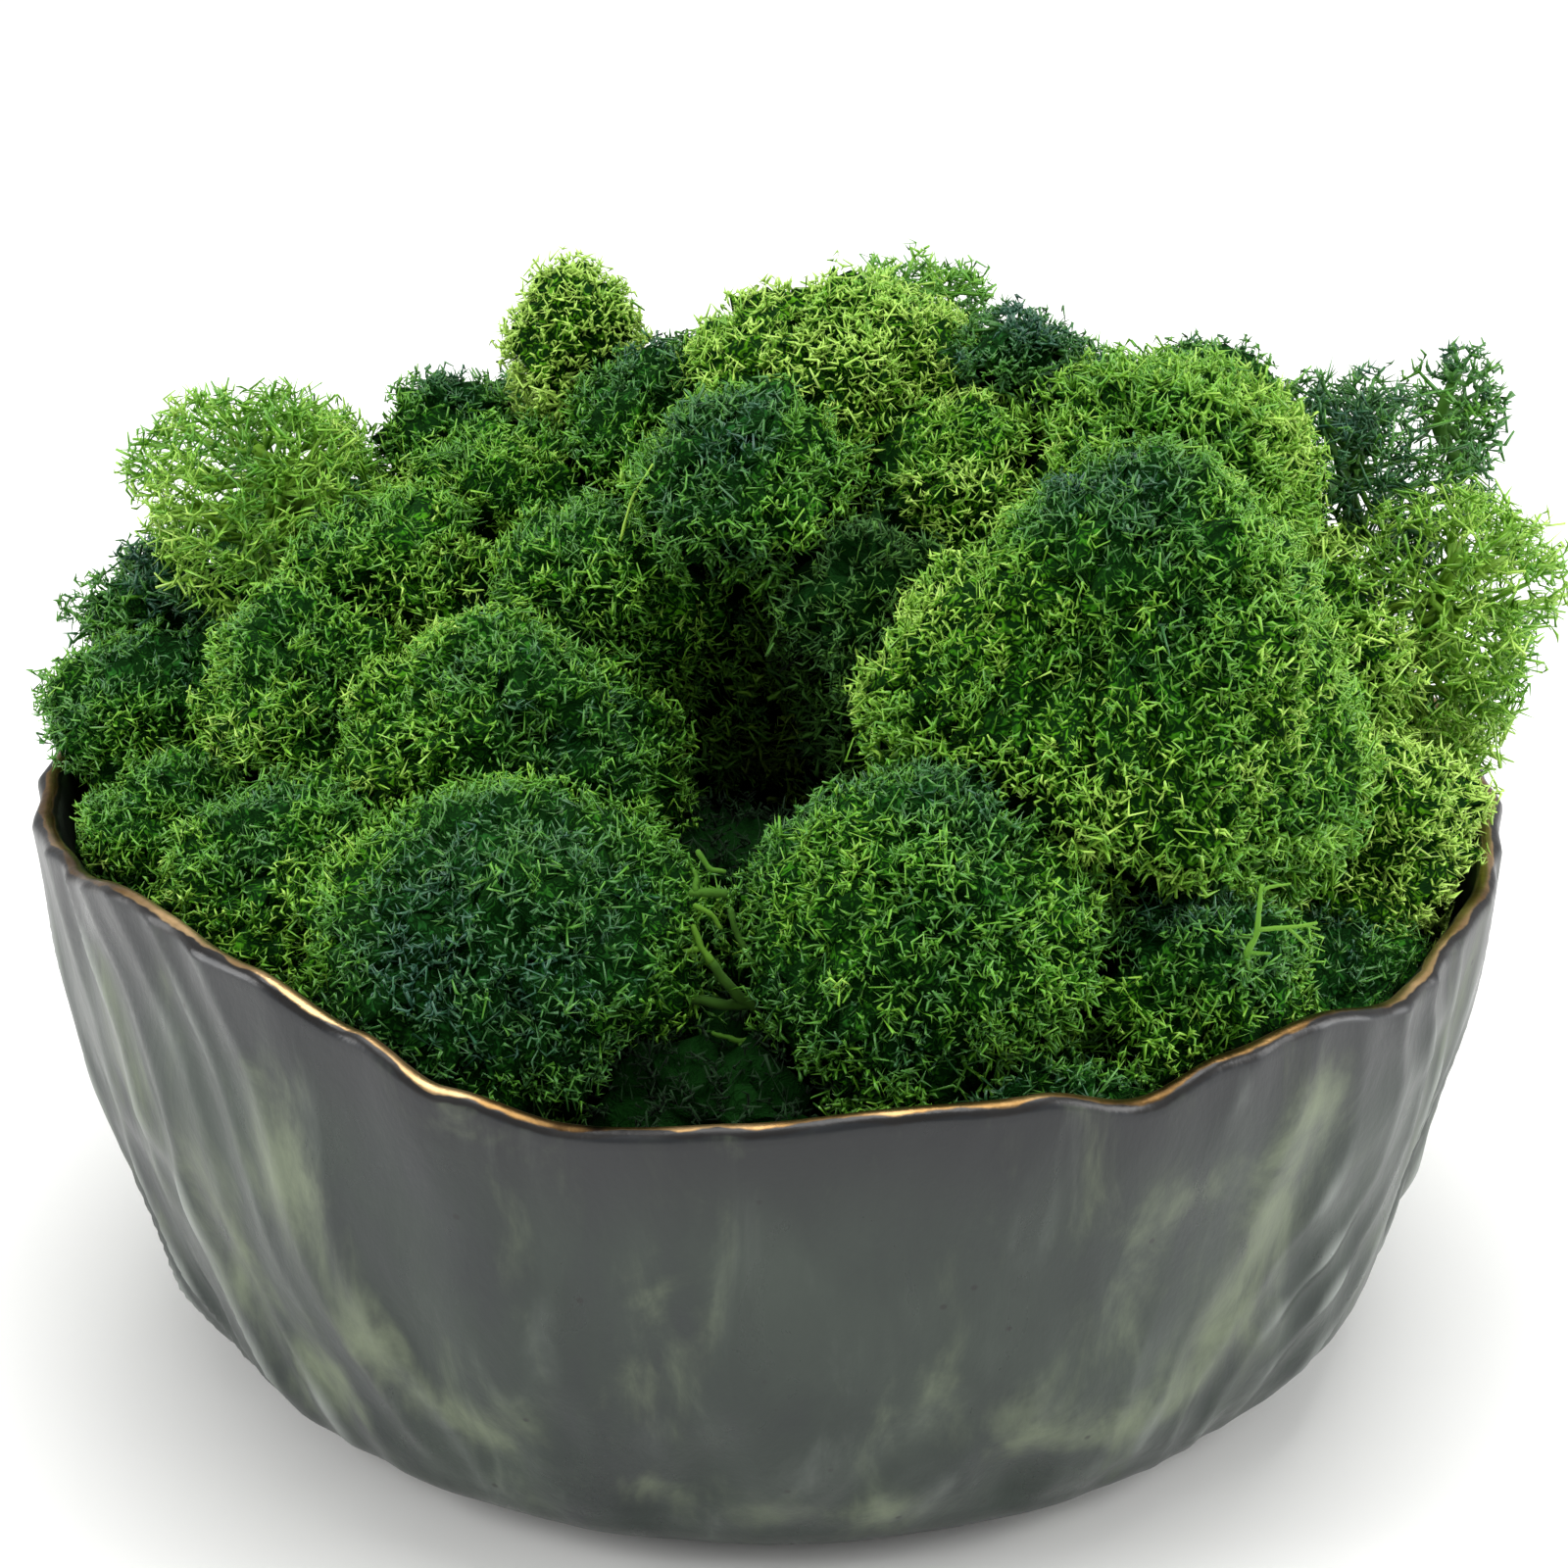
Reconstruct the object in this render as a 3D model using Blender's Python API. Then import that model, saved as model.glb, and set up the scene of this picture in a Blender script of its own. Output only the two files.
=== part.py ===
"""Moss clump: tufts of dyed reindeer moss heaped in a hand-formed stoneware bowl.

The bowl stands on z = 0 with its foot's centre at the origin, and -Y is its front.
Each tuft is one closed solid: a lumpy dome that tapers to a root down in the bowl.
Tufts that press on each other part along a flat plane, and none reaches into the bowl's wall.
"""

import math

import bpy
import numpy as np

MM = 0.001
TOUCH_GAP = 0.36  # millimetres left between solids that press on each other

# Bowl, in millimetres. Each profile row is a radius and a share of the rim's height.
RIM_RADIUS = 80.0
FOOT_RADIUS = 51.0
FLOOR_HEIGHT = 6.0
WALL_AT_RIM = 2.4
WALL_AT_FOOT = 5.0
OUTER_PROFILE = (
    (FOOT_RADIUS, 0.0),
    (58.5, 0.014),
    (61.8, 0.032),
    (64.7, 0.062),
    (67.8, 0.13),
    (71.0, 0.25),
    (73.8, 0.40),
    (76.3, 0.58),
    (78.2, 0.76),
    (79.4, 0.90),
    (RIM_RADIUS, 0.985),
)
INNER_ROWS = (0.985, 0.88, 0.70, 0.50, 0.32, 0.19)
FLOOR_ROWS = ((59.0, 8.2), (52.0, FLOOR_HEIGHT))
BOWL_SIDES = 76

# The rim's height above the table, by azimuth in degrees: 0 is +X and 270 is the front.
RIM_HEIGHTS = (
    (0, 59.0),
    (16, 61.2),
    (34, 59.0),
    (55, 60.5),
    (76, 58.4),
    (96, 61.8),
    (118, 60.0),
    (138, 58.0),
    (158, 61.0),
    (176, 62.4),
    (192, 61.4),
    (204, 63.6),
    (218, 68.0),
    (232, 66.8),
    (241, 63.2),
    (248, 59.6),
    (256, 57.5),
    (268, 59.0),
    (280, 60.2),
    (288, 60.0),
    (296, 57.2),
    (303, 59.2),
    (311, 60.0),
    (321, 57.2),
    (336, 58.4),
)

# What the moss has to stay inside of: (radius, height, spread per mm of height) of a cone.
WALL_LIMIT = (RIM_RADIUS - 4.4, 0.0, 0.20)  # its height is counted from the rim
CORNER_LIMIT = (59.0, 8.0, 0.75)
MOST_SPREAD = 1.8
LEAST_RISE = 2.0  # a dome this far above the lip may lean out over it
LOWEST_MOSS = FLOOR_HEIGHT + 1.2
LIMIT_SIDES = 36

# Tufts: centre x, y, z of the dome, its radius across and its radius up, in millimetres.
TUFTS = {
    "tuft_front_left": (-26.5, -50, 62.5, 19.0, 15.5),
    "tuft_front_centre": (15, -51, 63.5, 17.5, 17.0),
    "tuft_front_right": (42, -53, 57.5, 12.5, 10.5),
    "tuft_front_gap": (-7, -61, 50, 11.0, 7.0),
    "tuft_front_low": (29, -64, 50, 9.5, 8.0),
    "tuft_left_front": (-49, -36, 61.5, 13.0, 12.0),
    "tuft_far_left_low": (-65, -16, 57.5, 12.5, 9.5),
    "tuft_far_left_rim": (-71, 3, 66, 11.5, 8.5),
    "tuft_left_dark": (-68, 18, 71, 12.0, 9.5),
    "tuft_left_crown": (-57, 18, 85, 14.0, 13.5),
    "tuft_mid_left": (-28, -22, 73, 15.5, 13.0),
    "tuft_left_inner": (-49, -9, 74, 11.0, 9.5),
    "tuft_left_slope": (-42, 4, 82, 11.5, 8.5),
    "tuft_centre_left": (-18, -5, 83, 12.0, 9.5),
    "tuft_back_left_low": (-36, 27, 90, 8.5, 7.5),
    "tuft_back_left_tall": (-22.5, 31, 100.5, 8.8, 9.0),
    "tuft_left_saddle": (-30, 16, 86, 11.5, 8.5),
    "tuft_back_middle": (-13, 20, 93, 10.5, 10.0),
    "tuft_centre_crown": (6, 19, 95, 18.0, 16.5),
    "tuft_centre_dark": (-3, -3, 94, 11.0, 11.0),
    "tuft_centre_drop": (11, -12, 83, 9.5, 11.0),
    "tuft_centre_right": (20, 2, 91, 12.0, 10.5),
    "tuft_far_back": (17, 42, 101, 9.0, 7.0),
    "tuft_back_dark": (28, 14, 102, 8.0, 7.5),
    "tuft_right_crown": (41, 7, 92, 18.0, 14.5),
    "tuft_right_big": (36, -30, 80, 22.5, 26.0),
    "tuft_right_back": (67, 22, 84, 13.0, 15.0),
    "tuft_right_horn": (77.5, 27, 92, 7.0, 8.5),
    "tuft_right_fan": (73, 6, 76, 14.0, 14.0),
    "tuft_right_inner": (60, 0, 73, 13.0, 13.0),
    "tuft_right_low": (64, -21, 60, 12.5, 13.5),
    "tuft_right_edge": (58, -40, 50, 10.0, 9.0),
    "tuft_back_right_dark": (50, 31, 91, 10.0, 9.0),
    "tuft_hollow": (-3, -27, 56, 13.0, 9.0),
    "tuft_rear_left": (-54, 43, 68, 15.5, 13.0),
    "tuft_rear_left_mid": (-30, 54, 76, 15.5, 13.5),
    "tuft_rear_middle": (-3, 59, 74, 16.0, 13.5),
    "tuft_rear_right_mid": (26, 57, 77, 16.0, 13.5),
    "tuft_rear_right": (53, 45, 71, 15.5, 13.0),
    "tuft_back_ridge": (-4, 39, 90, 12.0, 10.0),
    "tuft_back_shoulder": (34, 35, 88, 12.0, 10.5),
}
# Hollows between tufts, where no moss grows, laid out in the same way.
HOLLOWS = {
    "dark_hollow": (-3, -16, 78, 10.0, 10.0),
}
ROOT_HEIGHT = 12.0  # where a tuft's stems end, above the table
ROOT_PULL = 0.6  # a root's distance from the bowl's axis, as a share of its dome's
ROOT_WIDTH = 0.95  # radians, how broad a tuft stays towards its root
SLENDER_WIDTH = 0.55  # the same for the tufts that stand on a thin stalk
SLENDER_TUFTS = ("tuft_back_left_tall", "tuft_right_horn", "tuft_far_back", "tuft_left_crown")
NARROW_TOPS = {  # the share of its radius across that a dome loses at its top
    "tuft_right_big": 0.18,
    "tuft_front_left": 0.1,
    "tuft_mid_left": 0.1,
}
LUMP_SHARE = 0.11  # how far lumps rise, as a share of the dome's radius
SMALL_DOME, BIG_DOME = 10.5, 14.0
SMALL_MESH, MIDDLE_MESH, BIG_MESH = (7, 10), (8, 12), (10, 15)  # rings, sides

GLAZE = ((0.055, 0.075, 0.068), 0.32)
MOSS = ((0.030, 0.110, 0.012), 0.85)


def clear_scene():
    for thing in list(bpy.data.objects):
        bpy.data.objects.remove(thing, do_unlink=True)


def make_material(name, colour, roughness):
    material = bpy.data.materials.new(name)
    material.use_nodes = True
    shader = material.node_tree.nodes["Principled BSDF"]
    shader.inputs["Base Color"].default_value = (*colour, 1.0)
    shader.inputs["Roughness"].default_value = roughness
    material.diffuse_color = (*colour, 1.0)
    return material


def add_solid(name, points, faces, material):
    """One closed mesh object, from points in millimetres, shaded smooth."""
    mesh = bpy.data.meshes.new(name)
    mesh.from_pydata((np.asarray(points) * MM).tolist(), [], faces)
    mesh.materials.append(material)
    mesh.shade_smooth()
    solid = bpy.data.objects.new(name, mesh)
    bpy.context.collection.objects.link(solid)
    return solid


def rim_height(azimuth):
    """The rim's height at each azimuth in radians: smooth steps between the listed heights."""
    degrees = np.degrees(azimuth) % 360.0
    marks = np.array([row[0] for row in RIM_HEIGHTS] + [360.0])
    heights = np.array([row[1] for row in RIM_HEIGHTS] + [RIM_HEIGHTS[0][1]])
    step = np.clip(np.searchsorted(marks, degrees, side="right") - 1, 0, len(marks) - 2)
    share = (degrees - marks[step]) / (marks[step + 1] - marks[step])
    share = share * share * (3.0 - 2.0 * share)
    return heights[step] + (heights[step + 1] - heights[step]) * share


def relief(azimuth, share):
    """How far the wall stands out or in, in mm: upright ripples broken by broad dents."""
    fade = np.clip(share * 6.0, 0.0, 1.0) * (1.0 - 0.45 * share)
    ripple = np.sin(17.0 * azimuth + 2.2 * np.sin(3.0 * azimuth) + 3.0 * share)
    dent = np.sin(5.0 * azimuth + 6.0 * share) * np.cos(3.0 * azimuth - 5.0 * share)
    return fade * (0.55 * ripple + 0.75 * dent)


def bowl_points():
    """Rows of points round the bowl: up the outside, over the lip, down the inside."""
    azimuth = np.arange(BOWL_SIDES) * 2.0 * math.pi / BOWL_SIDES
    height = rim_height(azimuth)
    around = np.stack([np.cos(azimuth), np.sin(azimuth)], axis=1)
    radii, shares = np.array(OUTER_PROFILE).T
    rows = []

    def add_row(radius, level):
        rows.append(np.column_stack([around * np.reshape(radius, (-1, 1)), level]))

    for radius, share in OUTER_PROFILE:
        add_row(radius + relief(azimuth, share), height * share)
    add_row(RIM_RADIUS - 0.5 * WALL_AT_RIM + relief(azimuth, 1.0), height + 0.35)
    for share in INNER_ROWS:
        wall = WALL_AT_FOOT + (WALL_AT_RIM - WALL_AT_FOOT) * share
        outer = np.interp(share, shares, radii)
        add_row(outer - wall + 0.5 * relief(azimuth, share), height * share)
    for radius, level in FLOOR_ROWS:
        add_row(np.full(BOWL_SIDES, radius), np.full(BOWL_SIDES, level))
    return rows


def make_bowl(material):
    rows = bowl_points()
    points = np.concatenate([*rows, [[0.0, 0.0, 0.0], [0.0, 0.0, FLOOR_HEIGHT]]])
    under, floor = len(points) - 2, len(points) - 1
    last = (len(rows) - 1) * BOWL_SIDES
    faces = []
    for side in range(BOWL_SIDES):
        after = (side + 1) % BOWL_SIDES
        faces.append((under, after, side))
        faces.append((floor, last + side, last + after))
        for row in range(len(rows) - 1):
            here, above = row * BOWL_SIDES, (row + 1) * BOWL_SIDES
            faces.append((here + side, here + after, above + after, above + side))
    return add_solid("bowl", points, faces, material)


def wall_planes(centre, radius):
    """Planes that keep a tuft off the bowl: each row is a unit normal and its offset.

    A tuft whose dome stands out past the rim gets a flatter cone, so that it clears the lip.
    """
    azimuth = np.arange(LIMIT_SIDES) * 2.0 * math.pi / LIMIT_SIDES
    nearby = azimuth[:, None] + np.radians([-8.0, -4.0, 0.0, 4.0, 8.0])
    rim = rim_height(nearby)
    away = math.hypot(centre[0], centre[1])
    own_rim = rim_height(np.array([math.atan2(centre[1], centre[0])]))[0]
    rise = centre[2] - own_rim
    spread = WALL_LIMIT[2]
    if rise > LEAST_RISE:
        wanted = (away + 0.85 * radius - WALL_LIMIT[0]) / rise
        spread = min(max(wanted, spread), MOST_SPREAD)
    rim = rim.max(axis=1) if spread > WALL_LIMIT[2] else rim.min(axis=1)
    planes = []
    for reach, level, slope in ((WALL_LIMIT[0], rim, spread), CORNER_LIMIT):
        length = math.hypot(1.0, slope)
        sideways = np.stack([np.cos(azimuth), np.sin(azimuth)], axis=1) / length
        down = np.full((LIMIT_SIDES, 1), -slope / length)
        offset = (reach - slope * level) / length * np.ones(LIMIT_SIDES)
        planes.append(np.hstack([sideways, down, offset[:, None]]))
    planes.append([[0.0, 0.0, -1.0, -LOWEST_MOSS]])
    return np.vstack(planes)


def neighbour_planes(name):
    """Planes halfway to each other tuft or hollow, nearer to the smaller one."""
    own = np.array(TUFTS[name])
    own_radius = (2.0 * own[3] + own[4]) / 3.0
    planes = []
    for other_name, row in {**TUFTS, **HOLLOWS}.items():
        if other_name == name:
            continue
        other = np.array(row)
        other_radius = (2.0 * other[3] + other[4]) / 3.0
        apart = other[:3] - own[:3]
        distance = np.linalg.norm(apart)
        middle = (distance**2 + own_radius**2 - other_radius**2) / (2.0 * distance)
        normal = apart / distance
        planes.append([*normal, own[:3] @ normal + middle - 0.5 * TOUCH_GAP])
    return np.array(planes)


def tuft_mesh_size(radius):
    if radius < SMALL_DOME:
        return SMALL_MESH
    return BIG_MESH if radius > BIG_DOME else MIDDLE_MESH


def tuft_directions(axis, rings, sides):
    """Unit directions on rings round the axis, with a pole at each end."""
    helper = np.array([0.0, 1.0, 0.0]) if abs(axis[1]) < 0.9 else np.array([1.0, 0.0, 0.0])
    side = np.cross(helper, axis)
    side /= np.linalg.norm(side)
    front = np.cross(axis, side)
    polar = np.arange(1, rings) * math.pi / rings
    turn = np.arange(sides) * 2.0 * math.pi / sides
    polar, turn = (grid.ravel() for grid in np.meshgrid(polar, turn, indexing="ij"))
    ring = (
        np.cos(polar)[:, None] * axis
        + (np.sin(polar) * np.cos(turn))[:, None] * side
        + (np.sin(polar) * np.sin(turn))[:, None] * front
    )
    return np.vstack([axis, ring, -axis])


def tuft_radius(name, directions, root, seed):
    """Distance from the dome's centre to its skin: an ellipsoid with lumps, drawn out to the root."""
    row = TUFTS[name]
    across = row[3] * (1.0 - NARROW_TOPS.get(name, 0.0) * directions[:, 2])
    up = row[4]
    level = np.hypot(directions[:, 0], directions[:, 1])
    dome = 1.0 / np.sqrt((level / across) ** 2 + (directions[:, 2] / up) ** 2)
    draw = np.random.default_rng(seed)
    waves = draw.normal(size=(6, 3)) * 2.4
    phases = draw.uniform(0.0, 2.0 * math.pi, 6)
    lumps = np.sin(directions @ waves.T + phases).sum(axis=1) / 6.0
    dome = dome * (1.0 + 2.0 * LUMP_SHARE * lumps)
    to_root = root - np.array(row[:3])
    length = np.linalg.norm(to_root)
    angle = np.arccos(np.clip(directions @ (to_root / length), -1.0, 1.0))
    width = SLENDER_WIDTH if name in SLENDER_TUFTS else ROOT_WIDTH
    stem = np.exp(-((angle / width) ** 2))
    return dome + np.maximum(length - dome, 0.0) * stem


def make_tuft(name, seed, material):
    """A tuft's skin: along each direction, the nearest of its own shape and the planes."""
    row = TUFTS[name]
    centre = np.array(row[:3], float)
    root = np.array([row[0] * ROOT_PULL, row[1] * ROOT_PULL, ROOT_HEIGHT])
    axis = centre - root
    rings, sides = tuft_mesh_size(row[3])
    directions = tuft_directions(axis / np.linalg.norm(axis), rings, sides)
    radius = tuft_radius(name, directions, root, seed)
    planes = np.vstack([wall_planes(centre, row[3]), neighbour_planes(name)])
    room = planes[:, 3] - planes[:, :3] @ centre
    toward = directions @ planes[:, :3].T
    with np.errstate(divide="ignore"):
        reach = np.where(toward > 1e-9, room / np.maximum(toward, 1e-9), np.inf)
    points = centre + directions * np.minimum(radius, reach.min(axis=1))[:, None]
    top, bottom = 0, len(points) - 1
    last = 1 + (rings - 2) * sides
    faces = []
    for side in range(sides):
        after = (side + 1) % sides
        faces.append((top, 1 + side, 1 + after))
        faces.append((bottom, last + after, last + side))
        for ring in range(rings - 2):
            upper, lower = 1 + ring * sides, 1 + (ring + 1) * sides
            faces.append((upper + side, lower + side, lower + after))
            faces.append((upper + side, lower + after, upper + after))
    return add_solid(name, points, faces, material)


def main():
    clear_scene()
    make_bowl(make_material("glazed_stoneware", *GLAZE))
    moss = make_material("dyed_moss", *MOSS)
    for seed, name in enumerate(TUFTS):
        make_tuft(name, seed, moss)


main()
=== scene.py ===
import math
from itertools import islice

import bmesh
import bpy
import numpy as np
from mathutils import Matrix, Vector
from mathutils.bvhtree import BVHTree


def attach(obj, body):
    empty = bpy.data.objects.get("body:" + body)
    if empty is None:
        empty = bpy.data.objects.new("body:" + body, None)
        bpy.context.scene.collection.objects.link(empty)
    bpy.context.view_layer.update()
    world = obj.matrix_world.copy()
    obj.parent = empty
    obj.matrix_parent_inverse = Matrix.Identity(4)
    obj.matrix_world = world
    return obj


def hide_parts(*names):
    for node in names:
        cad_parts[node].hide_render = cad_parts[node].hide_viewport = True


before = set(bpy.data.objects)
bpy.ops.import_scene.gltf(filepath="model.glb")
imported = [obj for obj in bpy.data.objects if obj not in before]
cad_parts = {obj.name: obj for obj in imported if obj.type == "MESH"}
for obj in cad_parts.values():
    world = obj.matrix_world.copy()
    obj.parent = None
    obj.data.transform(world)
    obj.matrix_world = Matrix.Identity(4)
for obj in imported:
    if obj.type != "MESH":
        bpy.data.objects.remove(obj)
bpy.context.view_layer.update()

# A heap of dyed reindeer moss in a hand-formed stoneware bowl.
# Shapes are worked out in millimetres and put into meshes in metres, z up, with the bowl's front towards -y.

mm = 0.001
fullTurn = 2 * math.pi


def linearColour(hexCode):
    # sRGB to linear: above 0.04045 it is (c + 0.055) / 1.055 to the power of 2.4, below it c / 12.92
    channels = [int(hexCode[start:start + 2], 16) / 255 for start in (1, 3, 5)]
    curve = [((c + 0.055) / 1.055) ** 2.4 if c > 0.04045 else c / 12.92 for c in channels]
    return (*curve, 1.0)


def feed(tree, socket, value):
    # Gives an input another node's output, a colour's code or a plain value
    if isinstance(value, bpy.types.NodeSocket):
        tree.links.new(value, socket)
    else:
        socket.default_value = linearColour(value) if isinstance(value, str) else value


def addNode(tree, kind, output, settings):
    # A new shader node's output. A setting is an input's value, the stops of a colour ramp or a property
    node = tree.nodes.new(f"ShaderNode{kind}")
    for key, value in settings.items():
        if key == "stops":
            stops = node.color_ramp.elements
            while len(stops) < len(value):
                stops.new(0.5)
            for stop, (place, colour) in zip(stops, value):
                stop.position, stop.color = place, linearColour(colour)
        elif isinstance(key, int) or key in node.inputs:
            feed(tree, node.inputs[key], value)
        else:
            setattr(node, key, value)
    return node.outputs[output]


def newMaterial(name, settings):
    # A material with one Principled shader; what is the same all over is set on the shader's own sockets
    material = bpy.data.materials.new(name)
    material.use_nodes = True
    tree = material.node_tree
    shader = tree.nodes["Principled BSDF"]
    for key, value in settings.items():
        feed(tree, shader.inputs[key], value)
    return material, tree, shader


def addMesh(name, points, faces, material):
    # One object at the origin, from points in mm and an array of faces with the same number of corners each
    mesh = bpy.data.meshes.new(name)
    corners = faces.shape[1]
    mesh.vertices.add(len(points))
    mesh.vertices.foreach_set("co", (points * mm).astype(np.float32).ravel())
    mesh.loops.add(faces.size)
    mesh.loops.foreach_set("vertex_index", faces.astype(np.int32).ravel())
    mesh.polygons.add(len(faces))
    mesh.polygons.foreach_set("loop_start", np.arange(0, faces.size, corners, dtype=np.int32))
    mesh.polygons.foreach_set("use_smooth", np.full(len(faces), True))
    mesh.update(calc_edges=True)
    mesh.materials.append(material)
    piece = bpy.data.objects.new(name, mesh)
    bpy.context.scene.collection.objects.link(piece)
    return piece


def addMap(piece, name, places):
    # A UV map from one place for each vertex
    mesh = piece.data
    corner = np.empty(len(mesh.loops), np.int32)
    mesh.loops.foreach_get("vertex_index", corner)
    mesh.uv_layers.new(name=name).uv.foreach_set("vector", places[corner].astype(np.float32).ravel())


def addNumbers(piece, name, values):
    # A number for each point, which the material reads by its name
    layer = piece.data.attributes.new(name, "FLOAT", "POINT")
    layer.data.foreach_set("value", values.astype(np.float32))


def joinParts(parts):
    # Parts of points, faces and more numbers for each point, put one after the other as one
    offsets = np.cumsum([0] + [len(part[0]) for part in parts])
    faces = np.vstack([part[1] + offset for part, offset in zip(parts, offsets)])
    points, _, *more = zip(*parts)
    return np.vstack(points), faces, *map(np.concatenate, more)


def unit(vectors):
    # Each vector over its own length
    return vectors / np.maximum(np.linalg.norm(vectors, axis=-1, keepdims=True), 1e-9)


def smoothStep(low, high, value):
    # 0 below low, 1 above high, and 3t² - 2t³ between them
    t = np.clip((value - low) / (high - low), 0, 1)
    return t * t * (3 - 2 * t)


# Camera, at the photo's angle: 23 degrees above the table, looking at the middle of the rim

camera = {
    "elevation": math.radians(23),
    "distance": 384,  # mm from the rim's middle
    "rimHeight": 60,
    "focalPixels": 3530,
    "frameSide": 1600,
    "middleX": 788,  # the pixel that the bowl's axis falls on
    "middleY": 790,  # the pixel row of the rim's middle
    "sensor": 36,
}


def addCamera(settings):
    # In front of the rim's middle, up at the angle, and shifted so that the middle falls on its pixel
    data = bpy.data.cameras.new("camera")
    data.sensor_width = settings["sensor"]
    data.lens = settings["sensor"] * settings["focalPixels"] / settings["frameSide"]
    data.shift_y = (settings["middleY"] - settings["frameSide"] / 2) / settings["frameSide"]
    data.clip_start = 0.01
    data.clip_end = 20
    thing = bpy.data.objects.new("camera", data)
    bpy.context.scene.collection.objects.link(thing)
    tilt, away = settings["elevation"], settings["distance"]
    aside = (settings["frameSide"] / 2 - settings["middleX"]) / settings["focalPixels"] * away
    thing.location = (
        aside * mm,
        -away * math.cos(tilt) * mm,
        (settings["rimHeight"] + away * math.sin(tilt)) * mm,
    )
    thing.rotation_euler = (math.pi / 2 - tilt, 0, 0)
    bpy.context.scene.camera = thing


addCamera(camera)
print("camera placed")


# Bowl, a thrown and dented stoneware bowl with a wavy lip

bowl = {
    "rimRadius": 80,
    "floorHeight": 6,
    "wallAtRim": 2.4,
    "wallAtFoot": 5.0,
    "outerProfile": (  # radius in mm, share of the rim's height
        (51, 0), (58.5, 0.014), (61.8, 0.032), (64.7, 0.062), (67.8, 0.13), (71, 0.25), (73.8, 0.40),
        (76.3, 0.58), (78.2, 0.76), (79.4, 0.90), (80, 0.985),
    ),
    "rimHeights": (  # azimuth in degrees from +x, height in mm
        (0, 59), (16, 61.2), (34, 59), (55, 60.5), (76, 58.4), (96, 61.8), (118, 60), (138, 58), (158, 61),
        (176, 62.4), (192, 61.4), (204, 63.6), (218, 68), (232, 66.8), (241, 63.2), (248, 59.6), (256, 57.5),
        (268, 59), (280, 60.2), (288, 60), (296, 57.2), (303, 59.2), (311, 60), (321, 57.2), (336, 58.4),
    ),
    "around": 640,  # points round the bowl
    "footRows": 12,  # up to footShare of the height
    "footShare": 0.062,
    "wallRows": 72,  # from there up to lipShare
    "lipShare": 0.985,
    "lipRise": 1.15,  # mm that the lip's round stands above that
    "lipRows": 9,
    "innerRows": 26,
    "floorRows": 5,
    "floorEdge": 59,  # radius in mm where the inner wall meets the floor
    "floorRise": 2.2,  # mm that the floor curves up to there
    "innerFoot": 0.137,  # share of the height where the inner wall ends
    "mossGap": 1.5,  # mm between the moss and the plain inner wall
    "ripple": 0.55,  # mm, the height of the fine ripples
    "ripplesRound": 58,
    "twist": 0.28,  # radians that they turn towards the front on their way down
    "fold": 0.5,  # mm, the height of the slanting folds low on the wall
    "foldWaves": (  # turns round the bowl, climb with the share of height, shift
        (19, 11, 0.4), (27, -9, 2.0), (13, 17, 4.1), (35, 14, 1.1), (23, -21, 5.2),
    ),
    "patches": (  # pale places: azimuth, share of height, half width in degrees, half height, strength
        (233, 0.68, 4, 0.12, 1.0), (222, 0.48, 4, 0.18, 0.8), (238, 0.42, 3, 0.11, 0.9),
        (212, 0.72, 4, 0.20, 0.5), (230, 0.24, 6, 0.10, 0.5), (248, 0.30, 8, 0.06, 0.5),
        (259, 0.22, 9, 0.05, 0.5), (276, 0.16, 12, 0.05, 0.5), (312, 0.85, 3, 0.12, 0.8),
        (310, 0.62, 4, 0.15, 0.9), (307, 0.40, 4, 0.13, 0.8), (301, 0.76, 4, 0.07, 0.7),
        (298, 0.30, 9, 0.06, 0.7), (330, 0.50, 5, 0.25, 0.5), (190, 0.45, 5, 0.30, 0.5),
        (286, 0.36, 6, 0.08, 0.4), (20, 0.55, 7, 0.28, 0.8), (48, 0.40, 8, 0.22, 0.9),
        (75, 0.62, 6, 0.25, 0.7), (98, 0.34, 9, 0.24, 0.9), (126, 0.58, 7, 0.28, 0.8),
        (150, 0.36, 8, 0.2, 0.8), (168, 0.62, 5, 0.24, 0.6),
    ),
}


def rimHeight(azimuth, settings):
    # Smooth steps between the listed heights
    degrees = np.degrees(azimuth) % 360
    marks, heights = np.array([*settings["rimHeights"], (360, settings["rimHeights"][0][1])]).T
    step = np.clip(np.searchsorted(marks, degrees, side="right") - 1, 0, len(marks) - 2)
    share = smoothStep(marks[step], marks[step + 1], degrees)
    return heights[step] + (heights[step + 1] - heights[step]) * share


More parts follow.
